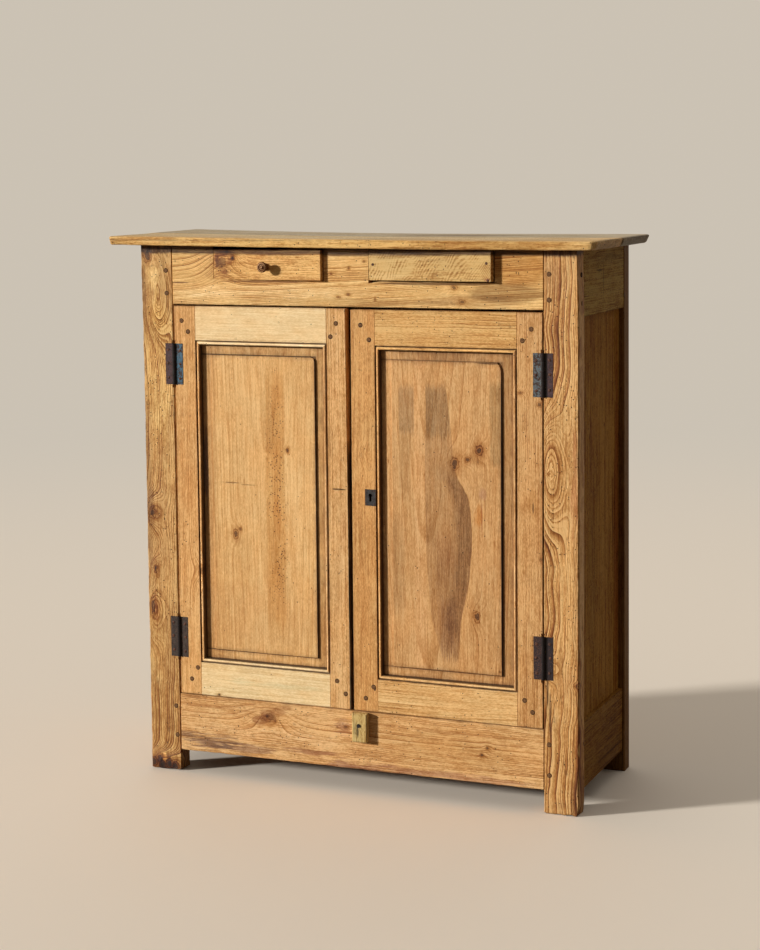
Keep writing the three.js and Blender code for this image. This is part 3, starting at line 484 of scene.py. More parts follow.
rings = use(pine_effect, growth, Board=given["Board"], Ring_Width=given["Ring Width"],
            Wave=given["Wave"], Tilt=given["Tilt"], Swirl=given["Swirl"], Push=given["Push"])
fibre = figure(0.025, 560.0, 2.0, 0.65)
streak = figure(0.025, 210.0, 2.0, 0.6)
band = figure(0.06, 62.0, 2.0, 0.55)
tone_map = figure(0.3, 10.0, 3.0, 0.6)
mottle = figure(0.45, 75.0, 5.0, 0.7)
grit = figure(0.25, 520.0, 2.0, 0.7)
fleck = product(pine_effect, soft_step(pine_effect, figure(0.09, 300.0, 1.0), 0.64, 0.76),
                soft_step(pine_effect, mottle, 0.44, 0.6))
clear = soft_step(pine_effect, figure(0.4, 13.0), 0.32, 0.68)
print("patterns of old pine:", len(pine_effect.nodes), "nodes")

# %% [markdown]
# The patterns are added up to one darkness. How strong each is was set by comparing the spread
# of light and dark on the real boards, for coarse and for fine marks.

# %% Effect: old pine, its colour
lines = total(pine_effect, product(pine_effect, rings["Late Wood"], 0.85),
              swing(pine_effect, rings["Ring Tone"], 0.5))
lines = product(pine_effect, lines, ranged(pine_effect, clear, 0.2, 1.8))
threads = total(pine_effect, swing(pine_effect, fibre, 3.0), swing(pine_effect, streak, 1.8),
                swing(pine_effect, band, 0.9), swing(pine_effect, grit, 3.8))
threads = calc(pine_effect, "MULTIPLY_ADD", fleck, 1.6, threads)
spread = total(pine_effect, swing(pine_effect, tone_map, 4.5), swing(pine_effect, mottle, 5.5))
dark = total(pine_effect, product(pine_effect, lines, given["Contrast"]),
             product(pine_effect, threads, given["Streaks"]),
             product(pine_effect, spread, given["Patches"]), given["Darkness"])
dark = calc(pine_effect, "MAXIMUM", dark, -0.25)
ratio = split(pine_effect, place(pine_effect, "DIVIDE", given["Late"], given["Early"]))
powers = [calc(pine_effect, "POWER", ratio[i], dark) for i in range(3)]
wood = place(pine_effect, "MULTIPLY", given["Early"], join(pine_effect, *powers))
WARM, COOL = (1.02, 0.985, 0.93), (0.985, 1.015, 1.03)
cool_share = soft_step(pine_effect, figure(0.4, 24.0, 3.0, 0.6), 0.3, 0.7)
warmth_inputs = {0: cool_share, 4: WARM, 5: COOL}
warmth = put(pine_effect, "ShaderNodeMix", warmth_inputs, data_type="VECTOR").outputs[1]
wood = place(pine_effect, "MULTIPLY", wood, warmth)
print("colour from", len(pine_effect.nodes), "nodes")

# %% [markdown]
# Last comes what the years added: grime and a dark line along the edges, dents, and wormholes.
# The same masks then lower the surface and take away its gloss.

# %% Effect: old pine, its wear
GRIME, EDGE_DIRT = (0.16, 0.068, 0.022, 1), (0.035, 0.015, 0.006, 1)
BRUISE, HOLLOW = (0.1, 0.04, 0.014, 1), (0.016, 0.007, 0.004, 1)
EDGE_REACH, HOLE_SIZE = 0.0022, 0.0014
edges = use(pine_effect, edge_effect, Position=given["Position"], Low=given["Low"],
            High=given["High"], Reach=EDGE_REACH)
few = product(pine_effect, given["Holes"], 0.6)
holes = use(pine_effect, worm_effect, Position=given["Position"], Amount=few,
            Size=HOLE_SIZE)["Hole"]
dent = soft_step(pine_effect, figure(0.6, 75.0, 4.0, 0.62), 0.62, 0.74)
dent = product(pine_effect, dent, given["Dents"])
grime = product(pine_effect, edges["Grime"], 0.45, given["Dirt"])
line = product(pine_effect, edges["Line"], 0.85, given["Dirt"])
for share, colour in ((grime, GRIME), (line, EDGE_DIRT),
                      (product(pine_effect, dent, 0.8), BRUISE), (holes, HOLLOW)):
    wood = blend(pine_effect, share, wood, colour)
relief = product(pine_effect, fibre, 0.4)
relief = calc(pine_effect, "MULTIPLY_ADD", rings["Late Wood"], 0.4, relief)
relief = total(pine_effect, relief, product(pine_effect, streak, 0.4))
relief = calc(pine_effect, "SUBTRACT", relief, dent)
relief = calc(pine_effect, "SUBTRACT", relief, product(pine_effect, holes, 1.6))
dull = calc(pine_effect, "MAXIMUM", grime, dent)
gloss = calc(pine_effect, "MULTIPLY_ADD", dull, 0.2, ranged(pine_effect, streak, 0.5, 0.66))
give(pine_effect, made, {"Color": wood, "Roughness": gloss, "Height": relief})

# %% [markdown]
# A finish starts with a shader and the place on the cupboard, in Object coordinates, that its
# patterns read. It ends with the values linked to the shader, and a bump from a height.

# %% Helpers for finishes
def new_finish(name, shine):
    """A new material, its graph, its shader, and the place that its patterns read."""
    material = bpy.data.materials.new(name)
    material.use_nodes = True
    tree = material.node_tree
    shader = tree.nodes["Principled BSDF"]
    shader.inputs["Specular IOR Level"].default_value = shine
    return material, tree, shader, put(tree, "ShaderNodeTexCoord").outputs["Object"]


def connect(tree, shader, values):
    """Links values to the shader's sockets."""
    for name, value in values.items():
        tree.links.new(value, shader.inputs[name])


def raise_up(tree, shader, height, strength, distance):
    """Gives the surface relief from a height."""
    inputs = {"Height": height, "Strength": strength, "Distance": distance}
    connect(tree, shader, {"Normal": put(tree, "ShaderNodeBump", inputs).outputs[0]})


def coat(node, material):
    """Gives a piece of the model its finish."""
    nodes[node].data.materials.clear()
    nodes[node].data.materials.append(material)


print("finishes can be built")

# %% [markdown]
# A board's colour is given as the usual colour of its wood, and the pale spring wood and dark
# summer wood are worked out on both sides of it. A line that bends is drawn as a curve through
# points, which gives the place of the line at each height.

# %% Tones and curved lines
GRAIN_ORDER = {"up": (0, 1, 2), "across": (2, 1, 0), "deep": (2, 0, 1)}
GRAIN_STRETCH = {"up": (1, 1, 0.1), "across": (0.1, 1, 1), "deep": (1, 0.1, 1)}


def tones(usual, depth):
    """The pale spring wood and the dark summer wood around a board's usual colour."""
    ratio = [share ** depth for share in (0.56, 0.42, 0.27)]
    early = [value / share ** 0.3 for value, share in zip(usual, ratio)]
    return early, [value * share for value, share in zip(early, ratio)]


def follow(tree, height, points):
    """A curve through (height, place) points, as a value that depends on the height."""
    heights, places = zip(*points)
    low, high = min(heights), max(heights)
    left, right = min(places) - 0.001, max(places) + 0.001
    inputs = {"Value": height, "From Min": low, "From Max": high}
    share = put(tree, "ShaderNodeMapRange", inputs).outputs[0]
    curve = put(tree, "ShaderNodeFloatCurve", {"Value": share})
    line = curve.mapping.curves[0]
    spots = sorted(((h - low) / (high - low), (p - left) / (right - left)) for h, p in points)
    line.points[0].location, line.points[1].location = spots[0], spots[-1]
    for spot in spots[1:-1]:
        line.points.new(*spot)
    curve.mapping.update()
    return calc(tree, "MULTIPLY_ADD", curve.outputs[0], right - left, left)


print("grain runs", ", ".join(GRAIN_ORDER))

# %% [markdown]
# Each board was cut from its own place in a log, so each gets its own material: which way its
# grain runs, where the pith lay, how wide and wavy its rings are, its usual colour, and its own
# knots and stains. Position stays the place on the cupboard, and Board is the same place measured
# from the pith with its third axis along the grain. A stain's tint multiplies the wood's colour.
# On the doors, stains and the lines of painted shade and dirt stop short of the inner face, which
# nobody handled. Each mark is one row of numbers, and the loops below name them in the order in
# which they stand.

# %% Marks on a board
KNOT_CORE, CORE_SHARE = (0.04, 0.016, 0.008, 1), 0.85
# The second of these two tints paints shade, with some dirt, in the creases of the doors.
PITTED, CREASE_SHADE_AND_DIRT = (0.22, 0.13, 0.08), (0.36, 0.28, 0.24)
# These two tints paint shade: the first, with some grime, under the overhang of the top and in the
# quirk of the moulding, the second in the gap between the doors and in the keyhole.
SHADE_AND_GRIME, IN_SHADOW = (0.12, 0.09, 0.08), (0.03, 0.03, 0.03)


def lay_stains(tree, colour, position, worked, grain, stains):
    """Ovals with ragged rims."""
    for centre, half_size, share, tint, ragged in stains:
        mask = use(tree, stain_effect, Position=position, Grain=GRAIN_STRETCH[grain],
                   Centre=centre, Half_Size=half_size, Ragged=ragged)["Mask"]
        colour = tinted(tree, product(tree, mask, worked, share), colour, tint)
    return colour


def lay_bands(tree, colour, position, worked, height, bands):
    """Bands up a board, between lines that are places or curves."""
    for left, right, bottom, top, soft_left, soft_right, fade, share, tint in bands:
        lines = [follow(tree, height, line) if isinstance(line, list) else line
                 for line in (left, right)]
        mask = use(tree, band_effect, Position=position, Left=lines[0], Right=lines[1],
                   Bottom=bottom, Top=top, Soft_Left=soft_left, Soft_Right=soft_right,
                   Fade=fade)["Mask"]
        colour = tinted(tree, product(tree, mask, worked, share), colour, tint)
    return colour


def lay_specks(tree, colour, position, specks):
    """Crowds of small pits, inside ovals."""
    for centre, half_size in specks:
        near = use(tree, stain_effect, Position=position, Grain=(1, 1, 0.3), Centre=centre,
                   Half_Size=half_size, Ragged=0.9)["Mask"]
        pits = use(tree, worm_effect, Position=position, Amount=3.2, Size=0.0018)["Hole"]
        colour = tinted(tree, product(tree, near, pits), colour, PITTED)
    return colour


def lay_outlines(tree, colour, position, worked, outlines):
    """Painted shade and dirt, and a painted highlight, along rectangles: a broad band and a thin
    line.
    """
    for (left, bottom, right, top), reach, wide, line_share, shade_and_dirt_share, tint in outlines:
        found = use(tree, outline_effect, Position=position, Low=(left, 0, bottom),
                    High=(right, 0, top), Reach=reach, Wide=wide)
        shade_and_dirt = product(tree, found["Shade And Dirt"], worked, shade_and_dirt_share)
        line = product(tree, found["Line"], worked, line_share)
        colour = tinted(tree, line, tinted(tree, shade_and_dirt, colour, CREASE_SHADE_AND_DIRT), tint)
    return colour


print("marks: knots, stains, bands, specks and outlines")

# %% [markdown]
# The recipe for a board puts it all together, in the order in which a real board got it: the
# wood with its knots, then stains, and last the dirt in the corners.

# %% A material for one board
finishes = {}


def pine(node, grain, pith, usual, ring=0.004, wave=0.012, tilt=0.0, swirl=0.0, lean=0.0,
         depth=1.0, contrast=0.45, streaks=0.45, patches=0.17, holes=0.15, dents=0.25, dirt=0.6,
         bump=0.4, shine=0.22, knots=(), stains=(), bands=(), specks=(), outlines=(), marks=None):
    """Finishes one board. Colours are linear, and places and sizes are metres on the cupboard."""
    material, tree, shader, position = new_finish(f"pine {node}", shine)
    apart = split(tree, position)
    sideways, inwards, along = (apart[i] for i in GRAIN_ORDER[grain])
    across = calc(tree, "SUBTRACT", sideways, pith[0])
    across = calc(tree, "MULTIPLY_ADD", along, -lean, across)
    board = join(tree, across, calc(tree, "SUBTRACT", inwards, pith[1]), along)
    low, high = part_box(node)
    early, late = tones(usual, depth)
    push, darkness, cores = 0.0, 0.0, []
    for centre, stretch, size, strength, dark in knots:
        found = use(tree, knot_effect, Position=position, Centre=centre, Stretch=stretch,
                    Radius=size, Strength=strength)
        push = total(tree, found["Push"], push)
        darkness = calc(tree, "MULTIPLY_ADD", found["Darkness"], dark, darkness)
        cores.append((found["Core"], min(dark, 1.0) * CORE_SHARE))
    if marks:
        darkness = total(tree, marks(tree, position), darkness)
    wood = use(tree, pine_effect, Board=board, Position=position, Low=low, High=high,
               Early=(*early, 1), Late=(*late, 1), Ring_Width=ring, Wave=wave, Tilt=tilt,
               Swirl=swirl, Push=push, Darkness=darkness, Contrast=contrast, Streaks=streaks,
               Patches=patches, Holes=holes, Dents=dents, Dirt=dirt)
    colour = wood["Color"]
    for core, share in cores:
        colour = blend(tree, product(tree, core, share), colour, KNOT_CORE)
    worked = 1.0
    if outlines:
        worked = soft_step(tree, calc(tree, "SUBTRACT", high[1], apart[1]), 0.0005, 0.002)
    colour = lay_stains(tree, colour, position, worked, grain, stains)
    colour = lay_bands(tree, colour, position, worked, apart[2], bands)
    colour = lay_specks(tree, colour, position, specks)
    colour = lay_outlines(tree, colour, position, worked, outlines)
    connect(tree, shader, {"Base Color": colour, "Roughness": wood["Roughness"]})
    raise_up(tree, shader, wood["Height"], 1.0, bump * 0.0017)
    coat(node, material)
    finishes[node] = material


print("a board is finished with pine(...)")

# %% [markdown]
# The posts took the most wear. They are squared from knotty trunks, so their rings are wavy and
# swirl round knots at the outer edges, and weather has left the late wood proud.

# %% The posts
pine("post_front_left", "up", (-0.585, -0.12), (0.495, 0.249, 0.073), ring=0.0045, wave=0.03,
     tilt=0.02, swirl=0.012, contrast=1.35, streaks=0.62, patches=0.5, holes=0.45, dents=0.5,
     dirt=0.75, bump=1.0, knots=[
         ((-0.517, -0.195, 1.256), (1, 0.5, 0.7), 0.0125, 1.6, 0.55),
         ((-0.495, -0.195, 1.17), (1, 0.5, 0.3), 0.012, 3.4, 0.0),
         ((-0.517, -0.19, 0.634), (1, 0.5, 0.6), 0.011, 1.6, 0.5),
         ((-0.512, -0.19, 0.496), (1, 0.5, 0.6), 0.007, 1.6, 0.9),
         ((-0.520, -0.19, 0.40), (1, 0.5, 0.35), 0.010, 2.2, 0.3),
         ((-0.526, -0.195, 0.016), (1, 0.5, 0.8), 0.010, 1.0, 2.2),
         ((-0.5106, -0.195, 0.024), (1, 0.5, 0.8), 0.007, 1.0, 2.2),
         ((-0.503, -0.195, 0.009), (1, 0.5, 0.8), 0.010, 1.0, 2.2),
         ((-0.484, -0.195, 0.014), (1, 0.5, 0.8), 0.011, 1.0, 2.2),
         ((-0.466, -0.195, 0.010), (1, 0.5, 0.8), 0.009, 1.0, 2.2),
     ], stains=[
         ((-0.525, -0.19, 0.70), (0.016, 0.05, 0.26), 0.6, (0.45, 0.36, 0.3), 1.0),
         ((-0.50, -0.19, 0.58), (0.05, 0.05, 0.16), 0.7, (0.8, 0.72, 0.68), 1.0),
         ((-0.49, -0.19, 0.98), (0.05, 0.05, 0.20), 0.9, (1.22, 1.28, 1.25), 0.5),
         ((-0.528, -0.19, 1.16), (0.012, 0.05, 0.10), 0.6, (0.45, 0.4, 0.35), 1.0),
         ((-0.505, -0.19, 1.235), (0.03, 0.05, 0.03), 0.5, (1.2, 1.3, 1.4), 0.6),
         ((-0.503, -0.19, 1.2), (0.02, 0.05, 0.045), 0.8, (1.35, 1.55, 1.75), 0.8),
         ((-0.495, -0.19, 1.12), (0.04, 0.05, 0.05), 0.5, (1.15, 1.2, 1.1), 0.9),
         # painted shade, with some grime, under the overhang of the top
         ((-0.49, -0.19, 1.276), (0.1, 0.05, 0.018), 1.0, SHADE_AND_GRIME, 0.3),
         ((-0.475, -0.19, 0.30), (0.02, 0.05, 0.20), 0.5, (0.6, 0.5, 0.4), 1.1),
         ((-0.512, -0.19, 0.40), (0.014, 0.05, 0.05), 0.8, (0.7, 0.5, 0.38), 1.2),
         ((-0.508, -0.19, 0.497), (0.012, 0.05, 0.016), 0.8, (1.25, 1.35, 1.5), 0.8),
         ((-0.49, -0.19, 0.004), (0.05, 0.06, 0.020), 0.9, (0.3, 0.24, 0.22), 1.9),
         ((-0.497, -0.198, 0.028), (0.006, 0.01, 0.016), 1.0, (2.2, 2.5, 3.0), 0.6),
     ])
pine("post_front_right", "up", (0.425, -0.12), (0.53, 0.264, 0.082), ring=0.0060, wave=0.022,
     tilt=0.06, swirl=0.02, contrast=1.55, streaks=0.65, patches=0.32, holes=0.45, dents=0.5,
     dirt=0.6, bump=1.1, knots=[
         ((0.482, -0.2, 0.786), (1, 0.5, 0.3), 0.016, 3.0, 0.0),
         ((0.486, -0.2, 0.776), (0.6, 0.6, 1.2), 0.004, 0.8, 1.0),
         ((0.487, -0.2, 0.335), (1, 0.5, 0.8), 0.008, 1.6, 0.4),
         ((0.552, -0.2, 0.30), (0.6, 0.5, 1.5), 0.005, 1.0, 0.6),
     ], stains=[
         ((0.545, -0.19, 0.76), (0.012, 0.05, 0.12), 0.6, (0.7, 0.45, 0.45), 1.0),
         ((0.482, -0.2, 0.29), (0.0026, 0.03, 0.05), 0.95, (0.14, 0.1, 0.08), 0.4),
         ((0.488, -0.2, 0.23), (0.0026, 0.03, 0.06), 0.95, (0.2, 0.15, 0.1), 0.4),
         ((0.50, -0.19, 1.215), (0.03, 0.05, 0.05), 0.5, (0.6, 0.52, 0.52), 1.1),
         # painted shade, with some grime, under the overhang of the top
         ((0.51, -0.19, 1.276), (0.1, 0.05, 0.020), 1.0, SHADE_AND_GRIME, 0.3),
         ((0.548, -0.19, 0.42), (0.008, 0.05, 0.30), 0.5, (0.6, 0.5, 0.42), 1.3),
         ((0.548, -0.19, 0.05), (0.012, 0.05, 0.06), 0.7, (0.5, 0.42, 0.42), 1.3),
         ((0.53, -0.19, 0.30), (0.03, 0.05, 0.05), 0.4, (0.7, 0.58, 0.52), 1.2),
         ((0.51, -0.19, 0.02), (0.04, 0.06, 0.02), 0.4, (0.55, 0.5, 0.5), 1.0),
     ])
# Both back posts are given a very dark colour, which paints in the shade that the right one stands
# in.
for name, x in (("post_back_left", -0.56), ("post_back_right", 0.6)):
    face = math.copysign(0.54, x)
    pine(name, "up", (x, 0.26), (0.16, 0.065, 0.014), ring=0.0045, wave=0.02, contrast=0.6,
         streaks=0.6, holes=0.3, dents=0.5, dirt=0.9, bump=0.7, patches=0.2, shine=0.06, stains=[
             # painted shade on the post beside the side panel
             ((face, 0.16, 0.62), (0.06, 0.018, 0.55), 0.75, (0.5, 0.28, 0.22), 0.6),
         ])
print("4 posts")

# %% [markdown]
# The rails of the frame run across. The frieze is a bright board, greyed along its lower right
# edge, and the bottom rail has a slanting branch knot and dark stains where floors were washed.

# %% The rails of the frame
CRACK = (0.2, 0.2, 0.2)
pine("frieze_rail", "across", (1.47, -0.13), (0.685, 0.38, 0.124), ring=0.0036, wave=0.010,
     tilt=-0.02, lean=0.06, contrast=0.95, streaks=0.3, patches=0.16, holes=0.3, dents=0.25,
     dirt=0.65, bump=0.6, knots=[
         ((-0.32, -0.196, 1.241), (0.8, 0.5, 0.8), 0.017, 1.0, 0.5),
         ((0.2637, -0.196, 1.187), (0.7, 0.5, 1.0), 0.006, 1.3, 0.5),
         ((0.2826, -0.196, 1.1558), (0.7, 0.5, 1.0), 0.006, 1.3, 0.5),
         ((-0.0374, -0.196, 1.2156), (1, 0.5, 1), 0.0034, 0.5, 1.8),
         ((0.0065, -0.196, 1.2297), (1, 0.5, 1), 0.003, 0.5, 1.8),
         ((0.0452, -0.196, 1.2449), (1, 0.5, 1), 0.0034, 0.5, 1.8),
         ((0.0046, -0.196, 1.1689), (0.6, 0.5, 1), 0.0035, 0.5, 1.8),
         ((-0.0193, -0.196, 1.1629), (0.5, 0.5, 1.2), 0.0035, 0.5, 1.8),
         ((0.0715, -0.196, 1.1595), (1, 0.5, 0.8), 0.003, 0.5, 1.8),
     ], stains=[
         ((0.39, -0.196, 1.176), (0.1, 0.03, 0.023), 1.0, (0.58, 0.53, 0.46), 0.3),
         ((0.30, -0.196, 1.158), (0.15, 0.03, 0.018), 0.9, (0.66, 0.6, 0.54), 0.6),
         ((-0.4, -0.196, 1.235), (0.09, 0.03, 0.05), 0.8, (0.93, 0.9, 0.82), 0.4),
         ((0.42, -0.196, 1.235), (0.09, 0.03, 0.05), 0.9, (0.72, 0.57, 0.36), 0.5),
         # painted shade, with some grime, under the overhang of the top, then painted shadows under
         # the right and the left drawer
         ((0.0, -0.196, 1.276), (0.9, 0.03, 0.020), 1.0, (0.1, 0.08, 0.07), 0.25),
         ((0.21, -0.196, 1.1955), (0.15, 0.03, 0.0036), 0.9, (0.2, 0.15, 0.1), 0.3),
         ((-0.21, -0.196, 1.1965), (0.12, 0.03, 0.0026), 0.8, (0.3, 0.22, 0.16), 0.3),
         ((-0.38, -0.196, 1.17), (0.1, 0.03, 0.012), 0.5, (1.15, 1.25, 1.4), 0.6),
         ((-0.09, -0.196, 1.168), (0.16, 0.03, 0.014), 0.5, (1.1, 1.2, 1.35), 0.7),
         ((0.05, -0.196, 1.152), (0.26, 0.03, 0.013), 0.6, (0.62, 0.62, 0.6), 0.9),
         ((-0.435, -0.197, 1.192), (0.035, 0.02, 0.0018), 0.9, (0.2, 0.14, 0.1), 0.4),
         ((-0.36, -0.196, 1.158), (0.12, 0.03, 0.02), 0.5, (1.1, 1.18, 1.35), 0.6),
         ((-0.2, -0.196, 1.172), (0.28, 0.03, 0.018), 0.7, (1.08, 1.15, 1.36), 0.5),
     ])
pine("front_bottom_rail", "across", (0.4, -0.14), (0.585, 0.298, 0.102), ring=0.0042, wave=0.02,
     tilt=0.012, contrast=0.68, streaks=0.5, patches=0.3, holes=0.35, dents=0.4, dirt=0.6, bump=0.6,
     knots=[
         ((-0.213, -0.196, 0.158), (0.6, 0.5, 1.1), 0.015, 1.3, 0.25),
         ((-0.2185, -0.196, 0.158), (0.8, 0.5, 1.2), 0.005, 0.6, 1.3),
         ((-0.196, -0.196, 0.148), (1, 0.5, 1), 0.0035, 0.5, 1.2),
         ((0.325, -0.196, 0.119), (1, 0.5, 1), 0.004, 1.0, 1.0),
         ((0.338, -0.196, 0.137), (1, 0.5, 1), 0.0045, 1.0, 0.8),
         ((-0.0128, -0.196, 0.152), (0.6, 0.5, 1), 0.0045, 0.5, 1.2),
         ((-0.035, -0.196, 0.15), (1, 0.5, 1), 0.003, 0.5, 1.2),
     ], stains=[
         ((-0.238, -0.196, 0.147), (0.020, 0.03, 0.013), 0.9, (0.5, 0.36, 0.28), 0.45),
         ((-0.216, -0.196, 0.158), (0.024, 0.03, 0.016), 0.9, (0.52, 0.38, 0.28), 0.45),
         ((-0.19, -0.196, 0.172), (0.022, 0.03, 0.014), 0.85, (0.6, 0.45, 0.33), 0.45),
         ((-0.165, -0.196, 0.183), (0.022, 0.03, 0.008), 0.7, (0.62, 0.48, 0.38), 0.7),
         ((-0.37, -0.196, 0.079), (0.07, 0.03, 0.017), 0.9, (0.3, 0.26, 0.36), 1.9),
         ((-0.43, -0.196, 0.09), (0.03, 0.03, 0.01), 0.8, (0.35, 0.3, 0.38), 1.9),
         ((-0.29, -0.196, 0.074), (0.08, 0.03, 0.011), 0.8, (0.4, 0.34, 0.42), 1.9),
         ((-0.2, -0.196, 0.112), (0.22, 0.03, 0.02), 0.5, (1.12, 1.22, 1.45), 1.0),
         ((-0.09, -0.196, 0.082), (0.07, 0.03, 0.010), 0.85, (0.45, 0.3, 0.3), 1.6),
         ((0.02, -0.196, 0.06), (0.12, 0.03, 0.008), 0.7, (0.5, 0.35, 0.45), 1.4),
         ((0.2, -0.196, 0.06), (0.28, 0.03, 0.012), 0.7, (0.55, 0.42, 0.55), 1.3),
         ((-0.02, -0.196, 0.150), (0.022, 0.03, 0.02), 0.6, (0.5, 0.38, 0.55), 1.7),
         ((0.24, -0.196, 0.12), (0.24, 0.03, 0.06), 0.75, (0.8, 0.72, 0.58), 0.9),
     ])
# The right side's rails, the lower one most, are given darker colours than the left side's, which
# paints in the shade that the right side stands in.
for name, pith, usual in (
        ("side_rail_top_right", (1.36, 0.64), (0.37, 0.205, 0.045)),
        ("side_rail_bottom_right", (0.02, 0.62), (0.24, 0.1, 0.016)),
        ("side_rail_top_left", (1.1, -0.62), (0.38, 0.2, 0.066)),
        ("side_rail_bottom_left", (0.0, -0.6), (0.36, 0.18, 0.056))):
    face = 0.553 if name.endswith("right") else -0.553
    stains = [((face, 0.05, 0.075), (0.02, 0.2, 0.03), 0.6, (0.5, 0.42, 0.4), 1.2)]
    if "top" in name:
        stains = [((face, 0.004, 1.2), (0.02, 0.0022, 0.05), 0.95, CRACK, 0.5),
                  ((face, -0.03, 1.222), (0.02, 0.03, 0.0028), 0.9, CRACK, 0.7),
                  ((face, 0.06, 1.25), (0.02, 0.08, 0.012), 0.6, (0.5, 0.48, 0.45), 1.2)]
    pine(name, "deep", pith, usual, ring=0.005, wave=0.018, contrast=1.0, streaks=1.2, patches=0.5,
         holes=0.3, dents=0.6, dirt=0.9, bump=0.8, shine=0.03, stains=stains)
print("frieze, bottom rail and 4 side rails")

# %% [markdown]
# The side panels are plain boards with quiet, straight grain. The right one is given a darker
# colour than the left, which paints in the shade that the right side stands in. A wide and a
# narrow board are glued edge to edge.

# %% The side panels
for name, x, usual in (("side_panel_right", 0.75, (0.36, 0.155, 0.026)),
                       ("side_panel_left", -0.78, (0.40, 0.2, 0.064))):
    face, knot_face = math.copysign(0.54, x), math.copysign(0.543, x)
    pine(name, "up", (x, 0.3), usual, ring=0.0055, wave=0.02, contrast=0.9, streaks=1.1, holes=0.3,
         dents=0.5, dirt=0.9, patches=0.42, shine=0.02, knots=[
             ((knot_face, -0.07, 0.845), (0.5, 1, 0.8), 0.004, 1.0, 0.9),
             ((knot_face, 0.05, 0.86), (0.5, 1, 0.8), 0.004, 1.0, 0.9),
         ], stains=[
             # painted shade on the panel in its corner at the back post
             ((face, 0.155, 0.62), (0.06, 0.026, 0.55), 0.8, (0.5, 0.25, 0.3), 0.5),
             ((face, -0.05, 0.5), (0.06, 0.06, 0.3), 0.4, (0.7, 0.75, 0.7), 1.0),
             ((face, 0.02, 0.22), (0.06, 0.2, 0.04), 0.4, (0.6, 0.55, 0.5), 1.0),
         ])
print("2 side panels")

# %% [markdown]
# The doors: stiles and rails of a fine, pinkish pine. The left door's rails are repairs in newer
# wood, which is paler and shows less grain. Along the rectangle of their openings both doors
# carry painted shade with some dirt in the quirk, a dark line at the inner edge of the moulding,
# and a highlight painted on the top of the bead. The meeting stiles are painted dark as shade in
# the gap between the doors, and the right one also in its keyhole.

# %% The doors' stiles and rails
def stuck_moulding(left, bottom, right, top):
    """Outlines of a moulding round an opening: a painted highlight on the bead, shade and dirt in
    the quirk, and a dark line at the inner edge.
    """
    def inset(by):
        return left + by, bottom + by, right - by, top - by
    return [(inset(0.006), 0.0024, 0.01, 0.75, 0.0, (1.5, 1.6, 1.8)),
            (inset(0.0012), 0.0017, 0.008, 0.9, 0.35, SHADE_AND_GRIME),
            (inset(0.0104), 0.0014, 0.006, 0.9, 0.3, (0.12, 0.1, 0.09))]


LEFT_OPENING = stuck_moulding(-0.392, 0.275, -0.0513, 1.0545)
RIGHT_OPENING = stuck_moulding(0.06915, 0.273, 0.4115, 1.0525)
pine("door_left_hinge_stile", "up", (-0.27, -0.12), (0.613, 0.302, 0.096), ring=0.0034, wave=0.012,
     contrast=0.55, patches=0.24, holes=0.1, dents=0.25, dirt=0.6, outlines=LEFT_OPENING, knots=[
         ((-0.385, -0.196, 0.50), (0.7, 0.5, 0.5), 0.008, 1.2, 0.4),
     ], stains=[
         ((-0.373, -0.196, 0.505), (0.004, 0.03, 0.03), 0.8, (0.25, 0.18, 0.15), 1.0),
         ((-0.42, -0.196, 0.62), (0.03, 0.03, 0.3), 0.35, (0.95, 0.85, 0.75), 0.9),
     ])
pine("door_left_meeting_stile", "up", (0.16, -0.1), (0.585, 0.298, 0.102), ring=0.0032, wave=0.012,
     contrast=0.55, streaks=0.55, patches=0.26, holes=0.15, dents=0.25, dirt=0.6,
     outlines=LEFT_OPENING, stains=[
         ((-0.024, -0.197, 0.7155), (0.02, 0.02, 0.002), 1.0, (0.12, 0.1, 0.08), 0.3),
         # painted shade on the edge in the gap between the doors
         ((0.0015, -0.16, 0.66), (0.0035, 0.2, 3.0), 1.0, IN_SHADOW, 0.0),
         ((-0.012, -0.196, 0.62), (0.012, 0.03, 0.06), 0.4, (0.6, 0.5, 0.45), 0.9),
         ((-0.03, -0.196, 0.45), (0.012, 0.03, 0.16), 0.4, (0.75, 0.68, 0.6), 1.2),
     ])
pine("door_left_top_rail", "across", (1.22, -0.12), (0.775, 0.517, 0.245), ring=0.006, wave=0.03,
     tilt=0.015, depth=0.6, contrast=0.35, streaks=0.3, patches=0.17, holes=0.04, dents=0.08,
     dirt=0.5, bump=0.25, outlines=LEFT_OPENING)
pine("door_left_bottom_rail", "across", (0.36, -0.12), (0.751, 0.509, 0.242), ring=0.007, wave=0.03,
     depth=0.6, contrast=0.35, streaks=0.45, patches=0.15, holes=0.03, dents=0.1, dirt=0.55,
     bump=0.3, outlines=LEFT_OPENING, knots=[
         ((-0.345, -0.196, 0.199), (0.7, 0.5, 1), 0.004, 1.0, 1.0),
     ], stains=[
         ((-0.2, -0.196, 0.235), (0.15, 0.03, 0.008), 0.5, (0.72, 0.8, 0.8), 1.3),
         ((-0.3, -0.196, 0.21), (0.09, 0.03, 0.008), 0.4, (0.8, 0.84, 0.8), 1.3),
         ((-0.16, -0.196, 0.262), (0.12, 0.03, 0.006), 0.35, (0.85, 0.8, 0.75), 1.2),
     ])
